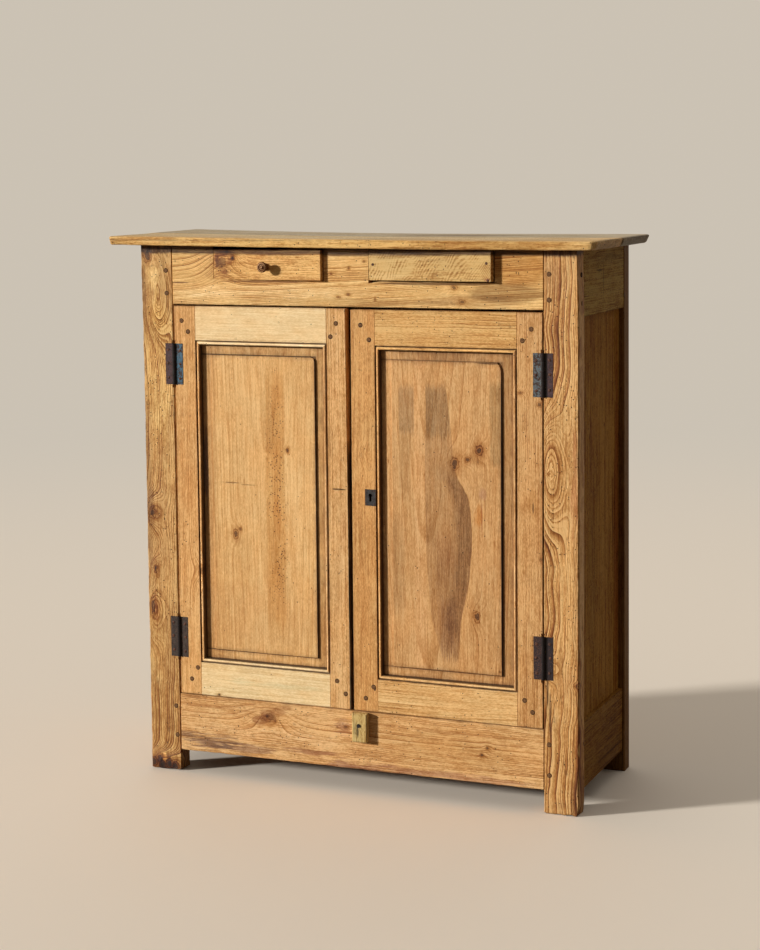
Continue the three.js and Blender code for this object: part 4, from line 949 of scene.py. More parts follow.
pine("door_right_meeting_stile", "up", (-0.14, -0.1), (0.53, 0.247, 0.07), ring=0.0032, wave=0.01,
     contrast=0.55, streaks=0.55, patches=0.24, holes=0.15, dents=0.3, dirt=0.6,
     outlines=RIGHT_OPENING, knots=[
         ((0.034, -0.196, 0.80), (1, 0.5, 0.5), 0.006, 1.0, 0.2),
     ], stains=[
         # painted shade on the edge in the gap between the doors, then in the keyhole
         ((0.0025, -0.16, 0.66), (0.0035, 0.2, 3.0), 1.0, IN_SHADOW, 0.0),
         ((0.0556, -0.19, 0.6998), (0.0055, 0.03, 0.0125), 1.0, IN_SHADOW, 0.0),
         ((0.03, -0.196, 0.76), (0.02, 0.03, 0.02), 0.4, (1.2, 1.3, 1.5), 0.9),
         ((0.062, -0.197, 0.25), (0.003, 0.02, 0.006), 1.0, (0.15, 0.1, 0.1), 0.3),
         ((0.035, -0.196, 0.5), (0.02, 0.03, 0.2), 0.3, (0.85, 0.75, 0.65), 1.1),
     ])
pine("door_right_hinge_stile", "up", (0.3, -0.12), (0.505, 0.242, 0.077), ring=0.0036, wave=0.014,
     swirl=0.006, contrast=0.75, streaks=0.6, patches=0.28, holes=0.2, dents=0.3, dirt=0.6,
     outlines=RIGHT_OPENING, knots=[
         ((0.464, -0.196, 0.930), (0.9, 0.5, 0.8), 0.0055, 1.0, 0.7),
         ((0.418, -0.196, 0.955), (0.5, 0.5, 1.2), 0.0045, 1.0, 0.6),
         ((0.468, -0.196, 0.582), (1, 0.5, 1), 0.0055, 1.0, 0.55),
     ], stains=[
         ((0.446, -0.196, 0.708), (0.02, 0.03, 0.035), 0.6, (0.75, 0.6, 0.35), 0.9),
         ((0.449, -0.197, 0.697), (0.002, 0.02, 0.012), 0.95, (0.15, 0.1, 0.08), 0.5),
     ])
pine("door_right_top_rail", "across", (1.16, -0.15), (0.57, 0.291, 0.086), ring=0.0045, wave=0.05,
     tilt=0.03, contrast=0.6, streaks=0.5, holes=0.4, dents=0.5, dirt=0.6, bump=0.5,
     outlines=RIGHT_OPENING)
pine("door_right_bottom_rail", "across", (0.16, -0.15), (0.62, 0.335, 0.115), ring=0.005, wave=0.03,
     tilt=0.025, contrast=0.4, streaks=0.45, holes=0.3, dents=0.4, dirt=0.6, bump=0.5,
     outlines=RIGHT_OPENING)
print("8 stiles and rails")

# %% [markdown]
# Each panel is one wide board. The left one is honey coloured with a wormy orange band. The right
# one has grey-brown stains that run down with the grain, and a group of knots. Painted shade, with
# some dirt, lines the edge of the raised field and the corner under the moulding, and the right
# panel has painted shadows along the right and the lower edge of its field. Darker bands run up
# the borders at the sides of the panels.

# %% The door panels
def panel_outlines(field, sight, share):
    """Painted shade and dirt along the edge of a raised field and the moulding that holds the
    panel.
    """
    return [(field, 0.0017, 0.014, share, 0.45, (0.06, 0.05, 0.05)),
            (sight, 0.0026, 0.016, 0.9, 0.6, (0.1, 0.08, 0.07))]


RING_LINE = [
    (0.9596, 0.2393), (0.9044, 0.2465), (0.8354, 0.2538), (0.7664, 0.2635), (0.7296, 0.2828),
    (0.6974, 0.2949), (0.6514, 0.2998), (0.6054, 0.3012), (0.5594, 0.2973), (0.5134, 0.2925),
    (0.4674, 0.2828), (0.4214, 0.2731), (0.3754, 0.2707), (0.3386, 0.2683)]
INNER_LINE = [(height, across - 0.036) for height, across in RING_LINE]
LEFT_LINE = [
    (0.98, 0.1909), (0.56, 0.1909), (0.513, 0.1945), (0.444, 0.2005), (0.3754, 0.2175),
    (0.33, 0.23)]
CRISP, SOFT = 0.0012, 0.012
pine("door_left_panel", "up", (-0.2, -0.03), (0.61, 0.318, 0.106), ring=0.0058, wave=0.016,
     tilt=0.02, contrast=0.22, streaks=0.34, patches=0.15, holes=0.04, dents=0.12, dirt=0.0,
     bump=0.35,
     outlines=panel_outlines(
         (-0.42, 0.308, -0.0853, 1.0215), (-0.382, 0.285, -0.0613, 1.0445), 0.8),
     knots=[
         ((-0.2965, -0.189, 0.594), (1.0, 0.5, 0.62), 0.0078, 0.7, 1.5),
         ((-0.2835, -0.189, 0.606), (1, 0.5, 1), 0.0046, 0.5, 1.8),
         ((-0.212, -0.189, 0.778), (1, 0.5, 0.7), 0.003, 0.5, 0.4),
         ((-0.1581, -0.189, 0.7996), (1, 0.5, 0.7), 0.0042, 0.8, 1.6),
     ], bands=[
         (-0.40, -0.352, 0.25, 1.08, 0.001, 0.022, 0.01, 0.8, (0.6, 0.52, 0.44)),
         (-0.084, -0.05, 0.25, 1.08, 0.001, 0.001, 0.01, 0.9, (0.68, 0.6, 0.5)),
         (-0.214, -0.166, 0.36, 0.99, 0.006, 0.004, 0.05, 0.75, (0.82, 0.7, 0.5)),
         (-0.197, -0.176, 0.48, 0.96, 0.004, 0.004, 0.05, 0.6, (0.8, 0.64, 0.42)),
         (-0.347, -0.30, 0.62, 1.01, 0.004, 0.02, 0.05, 0.5, (1.1, 1.14, 1.2)),
         (-0.163, -0.12, 0.34, 0.78, 0.003, 0.01, 0.06, 0.5, (1.06, 1.08, 1.12)),
     ], specks=[
         ((-0.19, -0.189, 0.70), (0.03, 0.03, 0.34)),
         ((-0.178, -0.189, 0.6), (0.02, 0.03, 0.26)),
     ], stains=[
         ((-0.376, -0.186, 0.74), (0.010, 0.03, 0.11), 0.9, (0.2, 0.2, 0.45), 1.0),
         ((-0.305, -0.19, 0.7165), (0.030, 0.02, 0.0022), 0.9, (0.35, 0.28, 0.2), 0.6),
         ((-0.262, -0.19, 0.713), (0.022, 0.02, 0.0018), 0.8, (0.45, 0.4, 0.3), 0.6),
         ((-0.10, -0.186, 0.95), (0.02, 0.03, 0.08), 0.3, (0.8, 0.75, 0.7), 1.2),
         ((-0.22, -0.186, 0.38), (0.2, 0.03, 0.12), 0.35, (0.8, 0.75, 0.75), 1.0),
         ((-0.22, -0.186, 1.03), (0.17, 0.03, 0.012), 0.5, (0.5, 0.42, 0.35), 1.0),
     ])
pine("door_right_panel", "up", (0.2, -0.04), (0.525, 0.256, 0.085), ring=0.0072, wave=0.022,
     tilt=0.05, contrast=0.3, streaks=0.42, patches=0.16, holes=0.06, dents=0.15, dirt=0.0,
     bump=0.35,
     outlines=panel_outlines((0.04, 0.305, 0.3725, 1.0205), (0.0791, 0.283, 0.4015, 1.0425), 0.45),
     knots=[
         ((0.319, -0.189, 0.820), (1, 0.5, 0.8), 0.0095, 0.9, 1.5),
         ((0.291, -0.189, 0.798), (1, 0.5, 1), 0.0068, 0.8, 1.2),
         ((0.260, -0.189, 0.788), (1, 0.5, 0.7), 0.011, 0.9, 0.9),
         ((0.316, -0.189, 0.795), (1, 0.5, 0.6), 0.005, 0.5, 0.8),
         ((0.3123, -0.189, 0.4374), (1, 0.5, 0.7), 0.0095, 0.9, 0.9),
         ((0.367, -0.189, 0.315), (1, 0.5, 1), 0.003, 0.5, 1.0),
     ], bands=[
         (LEFT_LINE, RING_LINE, 0.335, 0.96, CRISP, CRISP, 0.012, 0.85, (0.7, 0.67, 0.66)),
         (0.374, 0.41, 0.25, 1.08, 0.001, 0.001, 0.01, 0.9, (0.68, 0.64, 0.57)),
         (INNER_LINE, RING_LINE, 0.37, 0.765, SOFT, CRISP, 0.05, 1.0, (0.5, 0.43, 0.38)),
         (0.215, 0.262, 0.50, 0.62, SOFT, SOFT, 0.03, 0.7, (0.7, 0.62, 0.6)),
         (0.1909, RING_LINE, 0.85, 0.962, CRISP, CRISP, 0.012, 0.9, (0.7, 0.72, 0.75)),
         (0.221, 0.262, 0.34, 0.48, SOFT, SOFT, 0.03, 0.8, (0.68, 0.6, 0.62)),
         (0.1245, 0.1618, 0.855, 0.962, 0.002, CRISP, 0.012, 1.0, (0.66, 0.66, 0.68)),
         (0.1255, 0.152, 0.71, 0.87, 0.006, 0.003, 0.03, 0.8, (0.78, 0.78, 0.76)),
         (0.1625, 0.1905, 0.30, 1.02, CRISP, CRISP, 0.02, 0.7, (1.1, 1.1, 1.16)),
         (0.3457, 0.3737, 0.787, 0.975, 0.004, CRISP, 0.008, 0.9, (0.66, 0.68, 0.66)),
         (0.100, 0.136, 0.44, 0.66, 0.004, 0.008, 0.03, 0.6, (0.66, 0.62, 0.56)),
         (0.3225, 0.3265, 0.635, 0.70, 0.001, 0.001, 0.01, 0.8, (0.6, 0.4, 0.3)),
         (0.10, 0.37, 0.28, 0.86, 0.01, 0.01, 0.08, 0.25, (0.8, 0.76, 0.72)),
         (0.30, 0.3725, 0.30, 0.60, 0.02, 0.02, 0.08, 0.5, (0.9, 0.86, 0.82)),
     ], stains=[
         ((0.328, -0.189, 0.72), (0.012, 0.03, 0.016), 0.7, (0.7, 0.6, 0.75), 1.0),
         ((0.3205, -0.189, 0.668), (0.017, 0.03, 0.028), 0.9, (0.92, 0.68, 0.38), 1.4),
         # painted shadows of the raised field along its right edge and its lower edge
         ((0.3725, -0.187, 0.63), (0.0022, 0.03, 0.36), 0.95, (0.08, 0.06, 0.06), 0.1),
         ((0.24, -0.187, 0.306), (0.14, 0.03, 0.0022), 0.7, (0.3, 0.2, 0.16), 0.3),
         ((0.24, -0.186, 1.033), (0.17, 0.03, 0.014), 0.6, (0.5, 0.45, 0.42), 1.0),
         ((0.345, -0.187, 1.018), (0.03, 0.03, 0.0024), 0.9, (0.15, 0.12, 0.1), 0.5),
     ])
print("2 door panels")

# %% [markdown]
# The top is two boards. Their faces are tinted greyer and bluer, partly the greying of everyday
# use and partly a painted reflection of the pale surroundings at a grazing angle. The front edge
# stayed honey coloured with many holes.

# %% The top boards
pine("top_board_front", "across", (1.2, -0.05), (0.6, 0.335, 0.11), ring=0.005, wave=0.03,
     tilt=0.02, contrast=0.55, streaks=0.7, patches=0.22, holes=0.55, dents=0.6, dirt=0.5, bump=1.0,
     stains=[
         # the faces tinted greyer and bluer: greying, with a painted reflection of the surroundings
         ((-0.05, -0.085, 1.3), (0.9, 0.135, 0.012), 1.0, (0.96, 1.16, 1.68), 0.5),
         ((0.45, -0.15, 1.296), (0.13, 0.05, 0.008), 0.5, (0.7, 0.7, 0.75), 1.0),
         ((-0.6, -0.12, 1.283), (0.035, 0.12, 0.02), 0.8, (0.35, 0.3, 0.28), 1.3),
         ((-0.53, -0.226, 1.276), (0.06, 0.02, 0.006), 0.7, (0.4, 0.3, 0.25), 1.6),
         ((-0.1, -0.229, 1.283), (0.8, 0.008, 0.03), 1.0, (0.97, 0.92, 0.76), 0.3),
         ((0.36, -0.229, 1.283), (0.32, 0.008, 0.03), 1.0, (0.63, 0.52, 0.38), 0.9),
         ((0.1, -0.229, 1.273), (0.6, 0.008, 0.0035), 0.9, (0.4, 0.3, 0.22), 1.0),
         ((0.595, -0.12, 1.283), (0.014, 0.14, 0.02), 0.75, (0.35, 0.33, 0.3), 0.8),
     ])
pine("top_board_back", "across", (1.2, 0.12), (0.42, 0.3, 0.165), ring=0.005, wave=0.03, tilt=0.02,
     contrast=0.5, streaks=0.7, patches=0.24, holes=0.25, dents=0.5, dirt=0.5, bump=0.9, stains=[
         ((0.17, 0.12, 1.294), (0.2, 0.05, 0.02), 0.9, (0.3, 0.27, 0.25), 1.0),
         ((0.42, 0.1, 1.294), (0.1, 0.03, 0.02), 0.6, (0.45, 0.42, 0.4), 1.2),
         ((0.6, 0.1, 1.283), (0.016, 0.2, 0.02), 0.9, (0.22, 0.2, 0.18), 0.7),
         # tinted paler and bluer: greying, with a painted reflection of the surroundings
         ((-0.2, 0.05, 1.294), (0.3, 0.06, 0.02), 0.4, (0.9, 1.0, 1.2), 1.0),
     ])
print("2 top boards")

# %% [markdown]
# The drawer fronts. The left one has a feathered knot at its left end. The right one keeps the
# slanting marks of the saw, which are soft parallel waves that come and go.

# %% The drawer fronts
def saw_marks(tree, position):
    """Slanting waves where the saw passed, stronger in some places than in others."""
    slant = split(tree, place(tree, "MULTIPLY", position, (300.0, 0, -240.0)))
    bend = product(tree, clouds(tree, position, 9.0), 30.0)
    wave = calc(tree, "SINE", product(tree, total(tree, slant[0], slant[2], bend), 2.6))
    strength = soft_step(tree, clouds(tree, position, 26.0, 3.0, 0.6), 0.35, 0.65)
    return product(tree, wave, strength, 0.6)


pine("drawer_left_front", "across", (1.44, -0.14), (0.625, 0.318, 0.089), ring=0.0046, wave=0.02,
     contrast=0.6, streaks=0.65, patches=0.2, holes=0.3, dents=0.4, dirt=0.2, bump=0.6, knots=[
         ((-0.32, -0.199, 1.241), (0.8, 0.5, 0.8), 0.017, 1.0, 0.5),
         ((-0.2885, -0.2, 1.2505), (1, 0.5, 1), 0.0055, 1.4, 1.4),
         ((-0.303, -0.2, 1.266), (1, 0.5, 1), 0.004, 0.8, 1.2),
         ((-0.318, -0.2, 1.231), (1, 0.5, 1), 0.0035, 0.6, 1.4),
     ], stains=[
         ((-0.33, -0.199, 1.25), (0.008, 0.03, 0.024), 1.0, (0.42, 0.26, 0.2), 1.2),
         ((-0.318, -0.199, 1.262), (0.016, 0.03, 0.01), 0.9, (0.5, 0.34, 0.26), 1.2),
         ((-0.31, -0.199, 1.217), (0.018, 0.03, 0.014), 0.9, (0.5, 0.34, 0.3), 1.2),
         ((-0.297, -0.199, 1.262), (0.016, 0.03, 0.008), 0.6, (0.6, 0.45, 0.35), 1.4),
         # painted shade, with some grime, under the overhang of the top
         ((-0.2, -0.199, 1.276), (0.6, 0.03, 0.018), 1.0, SHADE_AND_GRIME, 0.3),
     ])
pine("drawer_right_front", "across", (1.32, -0.15), (0.485, 0.268, 0.08), ring=0.009, wave=0.03,
     contrast=0.25, streaks=0.5, patches=0.5, holes=0.35, dents=0.35, dirt=0.4, bump=0.7,
     marks=saw_marks, stains=[
         # painted shade, with some grime, under the overhang of the top
         ((0.2, -0.2, 1.276), (0.6, 0.05, 0.018), 1.0, SHADE_AND_GRIME, 0.3),
         ((0.12, -0.2, 1.262), (0.12, 0.03, 0.012), 0.6, (0.55, 0.48, 0.42), 1.2),
         ((0.20, -0.205, 1.264), (0.05, 0.03, 0.018), 0.5, (0.6, 0.55, 0.5), 1.4),
         ((0.1, -0.2, 1.212), (0.06, 0.03, 0.01), 0.5, (1.15, 1.25, 1.5), 0.9),
         ((0.346, -0.21, 1.206), (0.014, 0.03, 0.007), 0.8, (0.6, 0.35, 0.4), 1.0),
         ((0.25, -0.205, 1.235), (0.11, 0.03, 0.03), 0.35, (0.8, 0.72, 0.6), 1.2),
     ])
print("2 drawer fronts")

# %% [markdown]
# Inside and at the back the wood was never waxed. It is plain, dry and a little darker, and the
# same recipe serves with less contrast.

# %% The boards inside and at the back
INSIDE = [
    ("back_rail_top", "across", (1.14, 0.24)),
    ("back_rail_bottom", "across", (0.16, 0.26)),
    ("back_board_1", "up", (-0.3, 0.29)),
    ("back_board_2", "up", (0.08, 0.27)),
    ("back_board_3", "up", (0.42, 0.28)),
    ("bottom_board", "across", (0.1, 0.02)),
    ("shelf_lower", "across", (0.39, 0.0)),
    ("shelf_upper", "across", (0.72, -0.04)),
    ("drawer_runner_left", "deep", (1.3, -0.4)),
    ("drawer_runner_middle", "deep", (1.14, 0.0)),
    ("drawer_runner_right", "deep", (1.3, 0.42)),
    ("drawer_left_side_left", "deep", (1.3, -0.38)),
    ("drawer_left_side_right", "deep", (1.1, -0.02)),
    ("drawer_left_back", "across", (1.16, 0.16)),
    ("drawer_left_bottom", "across", (1.16, -0.05)),
    ("drawer_right_side_left", "deep", (1.3, 0.02)),
    ("drawer_right_side_right", "deep", (1.14, 0.3)),
    ("drawer_right_back", "across", (1.3, 0.16)),
    ("drawer_right_bottom", "across", (1.14, 0.02)),
]
for name, grain, pith in INSIDE:
    pine(name, grain, pith, (0.44, 0.255, 0.1), ring=0.0065, wave=0.03, tilt=0.02, contrast=0.6,
         streaks=0.6, patches=0.2, holes=0.12, dents=0.3, dirt=0.8, bump=0.5)
print(len(INSIDE), "boards inside")

# %% [markdown]
# The turn button is a scrap of dry, greenish wood with a split at its nail. The knob is dark
# turned wood, and pale rings are painted round its axis as highlights on its turned ridges.

# %% The turn button and the knob
KNOB_AXIS = (-0.2013, 0, 1.2308)
GROOVES = 1450.0


def ring_highlights(tree, position):
    """Pale and dark rings round the knob's axis: painted highlights on its turned ridges."""
    from_axis = place(tree, "SUBTRACT", position, KNOB_AXIS)
    from_axis = place(tree, "LENGTH", place(tree, "MULTIPLY", from_axis, (1, 0, 1)))
    wave = calc(tree, "SINE", product(tree, from_axis, GROOVES))
    return calc(tree, "MULTIPLY_ADD", wave, -1.1, 1.1)


pine("turn_button", "up", (0.09, -0.17), (0.462, 0.284, 0.088), ring=0.004, wave=0.014,
     contrast=0.5, streaks=0.7, patches=0.25, holes=0.0, dents=0.7, dirt=0.6, bump=0.9, stains=[
         ((0.0245, -0.212, 0.150), (0.0035, 0.02, 0.018), 1.0, (0.16, 0.14, 0.12), 0.6),
         ((0.0185, -0.212, 0.153), (0.006, 0.02, 0.024), 0.7, (0.4, 0.42, 0.45), 1.2),
     ])
pine("drawer_left_knob", "deep", (1.231, -0.2), (0.36, 0.19, 0.08), ring=0.003, wave=0.004,
     contrast=0.4, patches=0.25, holes=0.0, dents=0.4, dirt=0.0, bump=0.5, marks=ring_highlights)
print("turn button and knob")

# %% [markdown]
# The hinges, the lock and the nails are wrought iron. It went brown-black, rust shows at edges
# and in patches, and the upper door leaves still carry blue paint.

# %% Effect: old iron
OLD_BLACK, RUST = (0.02, 0.013, 0.012, 1), (0.14, 0.052, 0.026, 1)
iron_effect, given, made = effect(
    "old iron",
    [("Position", "Vector", (0, 0, 0)), ("Low", "Vector", (0, 0, 0)),
     ("High", "Vector", (1, 1, 1)), ("Bare", "Color", (0.07, 0.045, 0.05, 1)),
     ("Paint", "Color", (0.07, 0.13, 0.19, 1)), ("Painted", "Float", 0.0),
     ("Rusty", "Float", 0.5)],
    [("Color", "Color"), ("Metallic", "Float"), ("Roughness", "Float"), ("Height", "Float")],
)
patches = clouds(iron_effect, given["Position"], 190.0, 4.0, 0.7)
specks = clouds(iron_effect, given["Position"], 330.0, 3.0, 0.7)
rims = use(iron_effect, edge_effect, Position=given["Position"], Low=given["Low"],
           High=given["High"], Reach=EDGE_REACH)
dull = blend(iron_effect, ranged(iron_effect, patches, -0.9, 1.9), given["Bare"], OLD_BLACK)
rust = calc(iron_effect, "MULTIPLY_ADD", rims["Line"], 0.12, specks)
rust = calc(iron_effect, "MULTIPLY_ADD", given["Rusty"], 0.3, rust)
rust = soft_step(iron_effect, rust, 0.62, 0.82)
paint = calc(iron_effect, "SUBTRACT", patches, product(iron_effect, rims["Line"], 0.08))
paint = product(iron_effect, soft_step(iron_effect, paint, 0.43, 0.52), given["Painted"])
coloured = blend(iron_effect, paint, dull, given["Paint"])
coloured = blend(iron_effect, product(iron_effect, rust, 0.8), coloured, RUST)
covered = calc(iron_effect, "MAXIMUM", paint, rust)
metal = product(iron_effect, calc(iron_effect, "SUBTRACT", 1.0, covered), 0.4)
give(iron_effect, made, {"Color": coloured, "Metallic": metal,
                         "Roughness": ranged(iron_effect, specks, 0.45, 0.8),
                         "Height": total(iron_effect, specks, paint)})

# %% [markdown]
# Each piece of iron gets its own finish, because the effect has to know where its edges are. The
# leaves of a hinge are also painted black beside the pin, as the shade of the barrel and its slot.

# %% Iron for each piece
PIN_SHADE = (0.008, 0.004, 0.003, 1)
EVERYWHERE = ((-2, -2, -2), (2, 2, 2))


def iron(name, bare=(0.07, 0.045, 0.05), paint=(0.07, 0.13, 0.19), painted=0.0, rusty=0.5,
         box=EVERYWHERE, pin=None):
    """A finish for iron, bare or painted. The pin is its place and how far its painted shade
    reaches.
    """
    material, tree, shader, position = new_finish(name, 0.25)
    old = use(tree, iron_effect, Position=position, Low=box[0], High=box[1], Bare=(*bare, 1),
              Paint=(*paint, 1), Painted=painted, Rusty=rusty)
    colour = old["Color"]
    if pin:
        axis, reach = pin
        beside = calc(tree, "SUBTRACT", split(tree, position)[0], axis)
        outside_pin_shade = soft_step(tree, calc(tree, "ABSOLUTE", beside), reach, reach + 0.0014)
        colour = blend(tree, outside_pin_shade, PIN_SHADE, colour)
    connect(tree, shader, {"Base Color": colour, "Metallic": old["Metallic"],
                           "Roughness": old["Roughness"]})
    raise_up(tree, shader, old["Height"], 0.6, 0.0007)
    return material


PURPLE = (0.075, 0.045, 0.052)
IRONWORK = {
    "hinge_left_top_frame_leaf": dict(bare=PURPLE, rusty=0.45),
    "hinge_right_top_frame_leaf": dict(bare=PURPLE, rusty=0.45),
    "hinge_left_top_door_leaf": dict(
        bare=(0.05, 0.035, 0.03), paint=(0.06, 0.14, 0.2), painted=0.95, rusty=0.35),
    "hinge_right_top_door_leaf": dict(
        bare=(0.04, 0.028, 0.022), paint=(0.12, 0.15, 0.16), painted=0.85, rusty=0.45),
    "hinge_left_bottom_frame_leaf": dict(bare=(0.06, 0.045, 0.035), rusty=0.3),
    "hinge_left_bottom_door_leaf": dict(bare=(0.07, 0.055, 0.042), rusty=0.4),
    "hinge_right_bottom_frame_leaf": dict(bare=(0.03, 0.022, 0.025), rusty=0.25),
    "hinge_right_bottom_door_leaf": dict(bare=(0.035, 0.025, 0.028), rusty=0.5),
    "escutcheon": dict(bare=(0.05, 0.05, 0.05), rusty=0.1),
    "lock_case": dict(bare=(0.02, 0.015, 0.013), rusty=0.3),
    "lock_bolt": dict(bare=(0.05, 0.04, 0.035), rusty=0.5),
    "turn_button_nail": dict(bare=(0.02, 0.016, 0.014), rusty=0.1),
}
PINS = {"hinge_left": (-0.4488, 0.0042), "hinge_right": (0.4762, 0.006)}
for name, how in IRONWORK.items():
    pin = PINS.get("_".join(name.split("_")[:2]))
    coat(name, iron("iron " + name, box=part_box(name), pin=pin, **how))
print(len(IRONWORK), "pieces of iron")

# %% [markdown]
# The posts, the rails and the top are not as straight as they were sawn: edges are knocked, the
# feet have splintered, and the frame has settled, so that the top lies a finger's breadth higher
# at the left. Each of these boards is copied from the model. The copy is cut across in many
# places, which adds corners along its edges, and those corners are then moved a little. The
# copy takes the board's place in the picture, and the board itself stays as it is.

# %% Helpers for worn boards
def once(items):
    """Each item once, in the order in which it comes."""
    return list(dict.fromkeys(items))


def finished_mesh(shape, name):
    """Turns a bmesh into a mesh."""
    mesh = bpy.data.meshes.new(name)
    shape.to_mesh(mesh)
    shape.free()
    return mesh


def link_piece(name, mesh, material, body):
    """Puts a finished mesh in the scene and lets it ride on a moving group."""
    piece = add_object(name, mesh)
    mesh.materials.append(material)
    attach(piece, body)
    return piece


def cut_across(shape, axis, first, last, count):
    """Cuts a board square to an axis, at evenly spaced places."""
    for step in range(count):
        spot = [0, 0, 0]
        spot[axis] = first + (last - first) * (step + 0.5) / count
        normal = [0, 0, 0]
        normal[axis] = 1
        everything = [*shape.verts, *shape.edges, *shape.faces]
        bmesh.ops.bisect_plane(shape, geom=everything, plane_co=spot, plane_no=normal)


def rough(where, scale):
    """A smooth random number from -1 to 1 for a place."""
    return noise.noise(Vector(where) * scale)


print("boards can be cut and moved")

# %% [markdown]
# How far the old frame has settled is one rule for all of its boards. The rise is largest at the
# back of the left end, and it fades out from the top of the posts down to the lower edge of the
# frieze, so that the doors still hang where they did.

# %% The rule for worn boards
FRONT_FACE, RIGHT_FACE, LEFT_FACE = -0.1965, 0.5545, -0.5315
TOP_FRONT, TOP_DEPTH = -0.2265, 0.453
RISE_FROM, RISE_TO = 1.15, 1.273


def settled(x, y):
    """How much higher the top of the old frame now stands at a place."""
    front = max(0.0, 0.0091 * max(0.0, (0.45 - x) / 0.98) ** 1.3 - 0.0013)
    back = 0.003 + 0.011 * max(0.0, (0.2 - x) / 0.8) ** 2
    share = min(max((y - TOP_FRONT) / TOP_DEPTH, 0.0), 1.0)
    return front + (back - front) * share


def worn_board(name, cuts, move):
    """Replaces a board with a copy whose corners have been moved by a rule."""
    shape = bmesh.new()
    shape.from_mesh(nodes[name].data)
    bmesh.ops.remove_doubles(shape, verts=shape.verts, dist=0.00002)
    for axis, first, last, count in cuts:
        cut_across(shape, axis, first, last, count)
    for vert in shape.verts:
        x, y, z = vert.co
        vert.co += Vector(move(x, y, z))
        rise = min(max((z - RISE_FROM) / (RISE_TO - RISE_FROM), 0.0), 1.0)
        vert.co.z += settled(x, y) * rise
    mesh = finished_mesh(shape, name + "_worn")
    piece = link_piece(name + "_worn", mesh, finishes[name], "carcass")
    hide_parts(name)
    print(piece.name, len(mesh.polygons), "faces")


print("the top stands", round(settled(-0.6, 0.22) * 1000), "mm higher at its back left corner")

# %% [markdown]
# On the front posts only the outer edges are knocked, because the hinges and doors sit against
# the inner ones. The feet lose a little at the floor.

# %% The front posts, worn
def knocked_post(sign):
    """The rule for a front post: its outer edges waver and its foot is ragged."""
    outer = abs(LEFT_FACE if sign < 0 else RIGHT_FACE)

    def move(x, y, z):
        away = abs(abs(x) - outer)
        near = max(0.0, 1 - away / 0.006)
        front = 1.0 if y < -0.17 else 0.4
        wander = 0.0012 * rough((x, y * 3, z), 17) + 0.0013 * rough((x, y * 3, z), 55) + 0.001
        if sign > 0:
            wander -= 0.0055 * max(0.0, (z - 1.12) / 0.15) + 0.006 * max(0.0, 1 - z / 0.018)
        else:
            wander += 0.0022 * max(0.0, (z - 1.0) / 0.27)
        ragged = max(0.0, 1 - z / 0.004) * max(0.0, rough((x, y, 5), 70)) * 0.007
        return sign * wander * near * front, 0.0, ragged
    return move


ALONG_POST = (2, 0.004, 1.27, 90)
worn_board("post_front_left", [ALONG_POST, (0, -0.53, -0.452, 12)], knocked_post(-1))
worn_board("post_front_right", [ALONG_POST, (0, 0.475, 0.553, 12)], knocked_post(1))

# %% [markdown]
# The frieze has a chip beside the right drawer, and the bottom rail's lower edge is scuffed.

# %% The front rails, worn
RAIL_BOTTOM, CHIP = 0.053, 0.060


def chipped_frieze(x, y, z):
    """The rule for the frieze: a chip at the lower left corner of the right drawer's opening."""
    chip = max(0.0, 1 - abs(x - CHIP) / 0.014) if 1.197 < z < 1.2 else 0.0
    return 0.0, 0.0, -0.005 * chip


def scuffed_rail(x, y, z):
    """The rule for the bottom rail: its lower edge wavers."""
    low = max(0.0, 1 - (z - RAIL_BOTTOM) / 0.004)
    waver = 0.0011 * rough((x, 0, 0), 25) + 0.0009 * rough((x, y, 0), 80) + 0.0008
    return 0.0, 0.0, low * waver


worn_board("frieze_rail", [(0, -0.445, 0.468, 70)], chipped_frieze)
worn_board("front_bottom_rail", [(0, -0.445, 0.468, 90)], scuffed_rail)

# %% [markdown]
# The top boards are the most knocked of all: their front edge wavers, the ends are rounded from
# below, and the left end is eaten away behind its front corner.

# %% The top boards, worn
ROUNDED_FROM, TOP_UPPER_EDGE = 0.585, 1.283


def knocked_top(x, y, z):
    """The rule for the top boards."""
    front = max(0.0, 1 - (y - TOP_FRONT) / 0.008)
    dip = front * (0.0016 * rough((x, z * 2, 0), 14) + 0.0014 * rough((x, z * 2, 1), 48))
    sag = front * (0.001 * rough((x, 3, z), 22) + 0.0008 * rough((x, 5, z), 70))
    under = max(0.0, (TOP_UPPER_EDGE - z) / 0.010)
    end = 0.0
    if x > ROUNDED_FROM:
        end = -0.010 * under * ((x - ROUNDED_FROM) / 0.02)
    if x < -ROUNDED_FROM:
        end = 0.005 * under * ((-ROUNDED_FROM - x) / 0.02)
        hollow = max(0.0, 1 - abs(y + 0.08) / 0.10)
        end += 0.013 * hollow * ((-ROUNDED_FROM - x) / 0.02)
    ends = max(0.0, (abs(x) - 0.58) / 0.025) * 0.0016 * rough((x, y, z), 40)
    return end + ends, max(0.0, dip) + 0.0004, sag


FRONT_CUTS = [(0, -0.6, 0.6, 120), (1, -0.215, -0.01, 12)]
worn_board("top_board_front", FRONT_CUTS, knocked_top)
worn_board("top_board_back", [(0, -0.6, 0.6, 60), (1, 0.0, 0.215, 10)], knocked_top)

# %% [markdown]
# The boards behind follow the settled top too, so that no gap opens at the side or the back.

# %% The other boards under the top
def leaning(x, y, z):
    """The rule for the boards behind: the right back post stands a little wide at its foot."""
    outer = max(0.0, (x - 0.535) / 0.02) if y > 0.13 else 0.0
    return 0.0045 * outer * (1 - z / RISE_TO), 0.0, 0.0


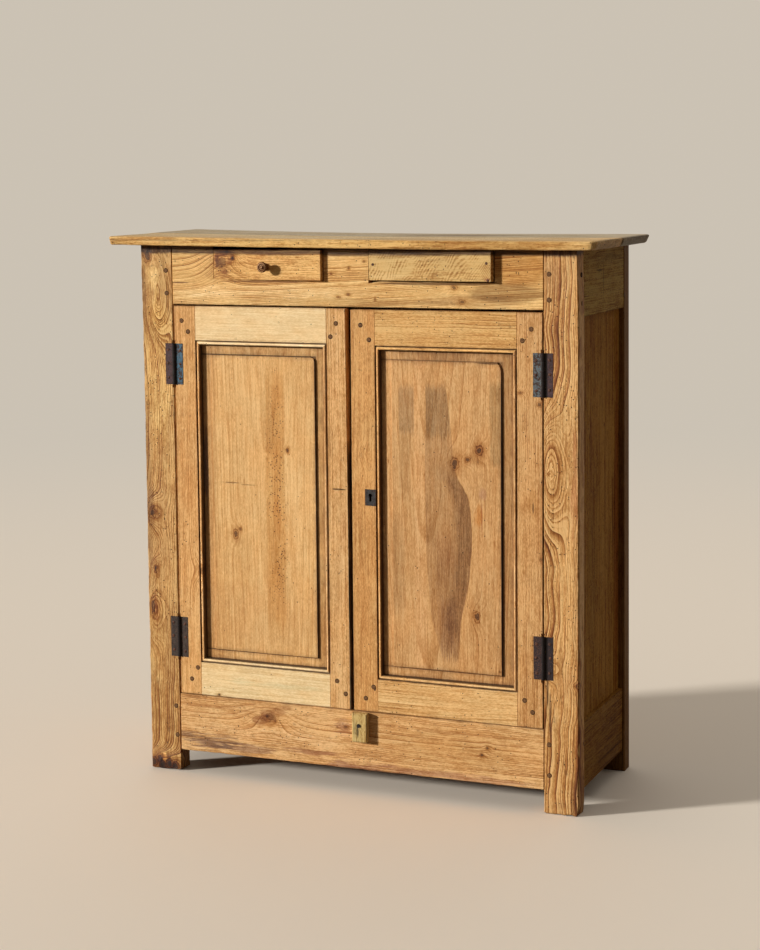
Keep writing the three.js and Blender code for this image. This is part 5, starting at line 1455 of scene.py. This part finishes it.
for slot, names in (
        ("old_pine", ("post_back_left", "post_back_right", "side_rail_top_left",
                      "side_rail_top_right")),
        ("inside_pine", ("back_rail_top", "back_board_1", "back_board_2", "back_board_3"))):
    for name in names:
        worn_board(name, [(2, RISE_FROM, RISE_TO, 8), (0, -0.5, 0.5, 10)], leaning)

# %% [markdown]
# Pegs hold the mortise and tenon joints. A peg is split oak, roughly eight sided, driven in and
# cut off nearly flush, so its end shows as a dark, not quite round dot in the nearly black rim of
# its hole, which paints the shade of the gap round the peg as well as the crush of the wood. The
# rim is a thin round disc and the peg a short cone with a bevelled rim, and each is turned and
# tapered a little differently.

# %% How a peg is made
FACING = {"front": Matrix.Rotation(math.radians(90), 4, "X"),
          "right": Matrix.Rotation(math.radians(90), 4, "Y"),
          "left": Matrix.Rotation(math.radians(-90), 4, "Y")}
RIM, RIM_DEPTH, PEG_DEPTH = 1, 0.004, 0.006


def add_rim(mesh, radius, place_it):
    """A dark disc for the rim of the hole: painted shade of the gap round the peg, and the crush of
    the wood.
    """
    made = bmesh.ops.create_cone(
        mesh, cap_ends=True, segments=12, radius1=radius, radius2=radius + 0.0005, depth=RIM_DEPTH)
    for face in once(f for v in made["verts"] for f in v.link_faces):
        face.material_index = RIM
    bmesh.ops.translate(mesh, verts=made["verts"], vec=(0, 0, 0.0002 - RIM_DEPTH / 2))
    bmesh.ops.transform(mesh, verts=made["verts"], matrix=place_it)


def add_peg(mesh, spot, facing, radius, chance):
    """A crushed rim, and one peg end proud of it by half a millimetre."""
    place_it = Matrix.Translation(spot) @ FACING[facing]
    add_rim(mesh, radius, place_it)
    made = bmesh.ops.create_cone(
        mesh, cap_ends=True, segments=8, radius1=radius * 0.85, radius2=radius * 0.92,
        depth=PEG_DEPTH)
    verts = made["verts"]
    around = sorted(verts, key=lambda v: (v.co.z, math.atan2(v.co.y, v.co.x)))
    for number, vert in enumerate(around):
        vert.co *= Vector((1, 1, 1)) if number % 2 else Vector((1.14, 1.14, 1))
    rims = once(e for v in verts for e in v.link_edges if all(w.co.z > 0 for w in e.verts))
    turned = Matrix.Rotation(chance.uniform(-0.35, 0.35), 3, "Z")
    bmesh.ops.rotate(mesh, verts=verts, cent=(0, 0, 0), matrix=turned)
    bmesh.ops.scale(mesh, verts=verts, vec=(1, chance.uniform(0.82, 1.0), 1))
    sunk = (0, 0, -0.0024 + chance.uniform(0.0001, 0.0006))
    bmesh.ops.translate(mesh, verts=verts, vec=sunk)
    bmesh.ops.transform(mesh, verts=verts, matrix=place_it)
    bmesh.ops.bevel(mesh, geom=rims, offset=0.0006, offset_type="OFFSET", segments=2,
                    profile=0.5, affect="EDGES", material=-1)


print("pegs can be driven into the", ", ".join(FACING), "face")

# %% [markdown]
# The pegs of the front are given as places across and up, and none of them is quite in line with
# the next, as on the real cupboard. Those of the sides are given as places front to back and up,
# the same for both sides. Peg ends are end grain, which soaks up dirt, and the rims of their
# holes are nearly black, painted shade of the gap round each peg with the crush of the wood.

# %% The pegs' places and finishes
CARCASS_PEGS = [(-0.4675, 1.220), (-0.4665, 1.166), (-0.4625, 0.161), (-0.4605, 0.089),
                (0.4865, 1.220), (0.4865, 1.163), (0.4855, 0.160), (0.4865, 0.089)]
LEFT_DOOR_PEGS = [(-0.4278, 1.101), (-0.4113, 1.075), (-0.0269, 1.1016), (-0.0409, 1.0706),
                  (-0.4013, 0.261), (-0.4178, 0.232), (-0.034, 0.2604), (-0.0123, 0.2314)]
RIGHT_DOOR_PEGS = [(0.0345, 1.099), (0.0554, 1.0657), (0.445, 1.098), (0.4244, 1.0716),
                   (0.0585, 0.2543), (0.0386, 0.2259), (0.4279, 0.2567), (0.4467, 0.2307)]
SIDE_PEGS = [(-0.172, 1.218), (-0.172, 1.155), (0.1785, 1.154), (0.185, 0.137),
             (-0.162, 0.160), (-0.162, 0.081)]

peg_wood, tree, shader, position = new_finish("peg end grain", 0.15)
mottled = clouds(tree, position, 420.0, 3.0, 0.6)
peg_colour = blend(
    tree, ranged(tree, mottled, -0.7, 1.5), (0.22, 0.105, 0.042, 1), (0.05, 0.02, 0.008, 1))
connect(tree, shader, {"Base Color": peg_colour, "Roughness": ranged(tree, mottled, 0.5, 0.8)})
raise_up(tree, shader, mottled, 0.6, 0.0008)

rim_shade_and_crush, tree, shader, position = new_finish("rim shade and crush", 0.1)
specks = clouds(tree, position, 600.0, 3.0, 0.6)
rim_colour = blend(tree, specks, (0.03, 0.012, 0.005, 1), (0.012, 0.005, 0.002, 1))
connect(tree, shader, {"Base Color": rim_colour, "Roughness": ranged(tree, specks, 0.7, 0.95)})
print(len(CARCASS_PEGS) + len(LEFT_DOOR_PEGS) + len(RIGHT_DOOR_PEGS), "pegs in front and",
      2 * len(SIDE_PEGS), "at the sides")

# %% [markdown]
# The pegs of one moving group are one mesh. The peg maker's hand is a row of random numbers that
# starts from the same place in every run, so every run gives the same pegs.

# %% Pegs
FRONT_PEG, SIDE_PEG = 0.0052, 0.005
chance = random.Random(7)
for name, body, slot, spots in (
        ("pegs_carcass", "carcass", "old_pine", CARCASS_PEGS),
        ("pegs_door_left", "door_left", "door_pine", LEFT_DOOR_PEGS),
        ("pegs_door_right", "door_right", "door_pine", RIGHT_DOOR_PEGS)):
    shape = bmesh.new()
    for x, z in spots:
        add_peg(shape, (x, FRONT_FACE, z), "front", FRONT_PEG, chance)
    if body == "carcass":
        for y, z in SIDE_PEGS:
            add_peg(shape, (RIGHT_FACE, y, z), "right", SIDE_PEG, chance)
            add_peg(shape, (LEFT_FACE, y, z), "left", SIDE_PEG, chance)
    mesh = finished_mesh(shape, name)
    link_piece(name, mesh, peg_wood, body)
    mesh.materials.append(rim_shade_and_crush)
    print(name, len(mesh.polygons), "faces")

# %% [markdown]
# The nails are hand made, with low domed heads. A flattened sphere, cut in half, gives a head
# that sits on the iron.

# %% Nails
def add_nail(mesh, spot, radius, height):
    """A domed nail head on a front face."""
    made = bmesh.ops.create_uvsphere(mesh, u_segments=12, v_segments=8, radius=radius)
    verts = made["verts"]
    bmesh.ops.scale(mesh, verts=verts, vec=(1, height / radius, 1))
    edges = once(e for v in verts for e in v.link_edges)
    faces = once(f for v in verts for f in v.link_faces)
    cut = bmesh.ops.bisect_plane(mesh, geom=verts + edges + faces, plane_co=(0, 0, 0),
                                 plane_no=(0, 1, 0), clear_outer=True)
    kept = [g for g in cut["geom"] if isinstance(g, bmesh.types.BMVert)]
    rim = [g for g in cut["geom_cut"] if isinstance(g, bmesh.types.BMEdge)]
    bmesh.ops.contextual_create(mesh, geom=rim)
    bmesh.ops.translate(mesh, verts=kept, vec=spot)


def nails(name, body, spots, radius, height):
    """A group of nail heads that ride on one body."""
    shape = bmesh.new()
    for spot in spots:
        add_nail(shape, spot, radius, height)
    link_piece(name, finished_mesh(shape, name), nail_metal, body)
    print(name, len(spots), "nails")


nail_metal = iron("nail iron", bare=(0.045, 0.018, 0.01), rusty=0.75)
LEAF_FACE = FRONT_FACE - 0.0007
HINGES = [("left", 0.997), ("left", 0.3335), ("right", 0.996), ("right", 0.357)]
AXIS = {"left": -0.44925, "right": 0.47225}
KEYHOLE = (0.0556, 0.70045)
DRAWER_NAILS = [(0.067, -0.1970, 1.238), (0.3461, -0.2116, 1.243), (0.3497, -0.2118, 1.205)]
nail_spots = {"carcass": [], "door_left": [], "door_right": []}
for side, z in HINGES:
    out = -1 if side == "left" else 1
    for up, aside in ((0.034, 0.0155), (0.002, 0.0165), (-0.033, 0.015)):
        nail_spots["carcass"].append((AXIS[side] + out * aside, LEAF_FACE, z + up))
        nail_spots["door_" + side].append((AXIS[side] - out * aside, LEAF_FACE, z + up - 0.002))
for body, spots in nail_spots.items():
    nails("hinge_nails_" + body, body, spots, radius=0.0036, height=0.0012)
corners = [(KEYHOLE[0] + dx, FRONT_FACE - 0.0016, KEYHOLE[1] + dz)
           for dx in (-0.0095, 0.0095) for dz in (-0.0152, 0.0152)]
nails("escutcheon_nails", "door_right", corners, radius=0.0014, height=0.0007)
nails("drawer_right_nails", "drawer_right", DRAWER_NAILS, radius=0.0034, height=0.001)

# %% [markdown]
# A plain pale floor and plain light. The floor is one large disc. Far out it fades to the colour
# of the surroundings for camera and glossy rays, so no horizon line shows.

# %% The floor
SURROUNDINGS = (0.6, 0.54, 0.455, 1)
PALE, SEEN_BY_LIGHT = (0.9, 0.8, 0.68, 1), (0.15, 0.11, 0.08, 1)
FLOOR_RADIUS, FADES_FROM, FADES_TO = 60, 1.6, 7.0
shape = bmesh.new()
bmesh.ops.create_circle(shape, cap_ends=True, segments=96, radius=FLOOR_RADIUS)
bmesh.ops.translate(shape, verts=shape.verts, vec=(0, 0, -0.0002))
floor = add_object("floor", finished_mesh(shape, "floor"))
floor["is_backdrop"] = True
floor_finish, tree, shader, position = new_finish("pale floor", 0.2)
shader.inputs["Roughness"].default_value = 0.75
glow = put(tree, "ShaderNodeEmission", {"Color": SURROUNDINGS, "Strength": 1.0})
seen = put(tree, "ShaderNodeLightPath").outputs
looked_at = calc(tree, "MAXIMUM", seen["Is Camera Ray"], seen["Is Glossy Ray"])
connect(tree, shader, {"Base Color": blend(tree, looked_at, SEEN_BY_LIGHT, PALE)})
away = soft_step(tree, place(tree, "LENGTH", position), FADES_FROM, FADES_TO)
share = product(tree, away, looked_at)
mixed = put(tree, "ShaderNodeMixShader", {0: share, 1: shader.outputs[0], 2: glow.outputs[0]})
tree.links.new(mixed.outputs[0], tree.nodes["Material Output"].inputs["Surface"])
floor.data.materials.append(floor_finish)
print("floor", round(floor.dimensions.x), "m across")

# %% [markdown]
# One lamp stands low on the left in front of the cupboard and draws clear shadows to the right.
# Weak light comes from all round, more of it from above and from behind, so that the top and the
# back can be seen too. Together they light the front at about the level at which a colour
# renders as it is written.

# %% Light
TOWARDS_KEY = (-0.79, -0.57, 0.24)
key_data = bpy.data.lights.new("key", "SUN")
key_data.energy = 4.55
key_data.angle = math.radians(6)
key_data.color = (1.0, 0.985, 0.95)
key = add_object("key", key_data)
key.rotation_mode = "QUATERNION"
key.rotation_quaternion = Vector(TOWARDS_KEY).to_track_quat("Z", "Y")

world = bpy.data.worlds.new("surroundings")
bpy.context.scene.world = world
world.use_nodes = True
tree = world.node_tree
towards = put(tree, "ShaderNodeTexCoord").outputs["Generated"]
dome = (0.016, 0.014, 0.011, 1)
for direction, start, full, colour in (
        ((0, 0, 1), 0.3, 1.0, (0.55, 0.52, 0.48, 1)),
        ((1, 0.25, 0.25), 0.5, 1.0, (0.22, 0.2, 0.175, 1)),
        ((-0.35, 0.9, 0.3), 0.7, 0.97, (0.9, 0.85, 0.78, 1))):
    inputs = {0: towards, 1: Vector(direction).normalized()}
    facing = put(tree, "ShaderNodeVectorMath", inputs, operation="DOT_PRODUCT").outputs["Value"]
    dome = blend(tree, soft_step(tree, facing, start, full), dome, colour)
seen = put(tree, "ShaderNodeLightPath").outputs
looked_at = calc(tree, "MAXIMUM", seen["Is Camera Ray"], seen["Is Glossy Ray"])
looked_at = calc(tree, "MAXIMUM", looked_at, seen["Is Transmission Ray"])
sky = blend(tree, looked_at, dome, SURROUNDINGS)
tree.links.new(sky, tree.nodes["Background"].inputs["Color"])
print("one lamp of", key_data.energy, "and soft light all round")

# %% [markdown]
# The box of the model and the box of the finished cupboard are kept side by side, to see that
# nothing added here makes it larger.

# %% Sizes, and the end
whole_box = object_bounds()
for what, (low, high) in (("model", cad_box), ("finished", whole_box)):
    print(what, [round(b - a, 4) for a, b in zip(low, high)])
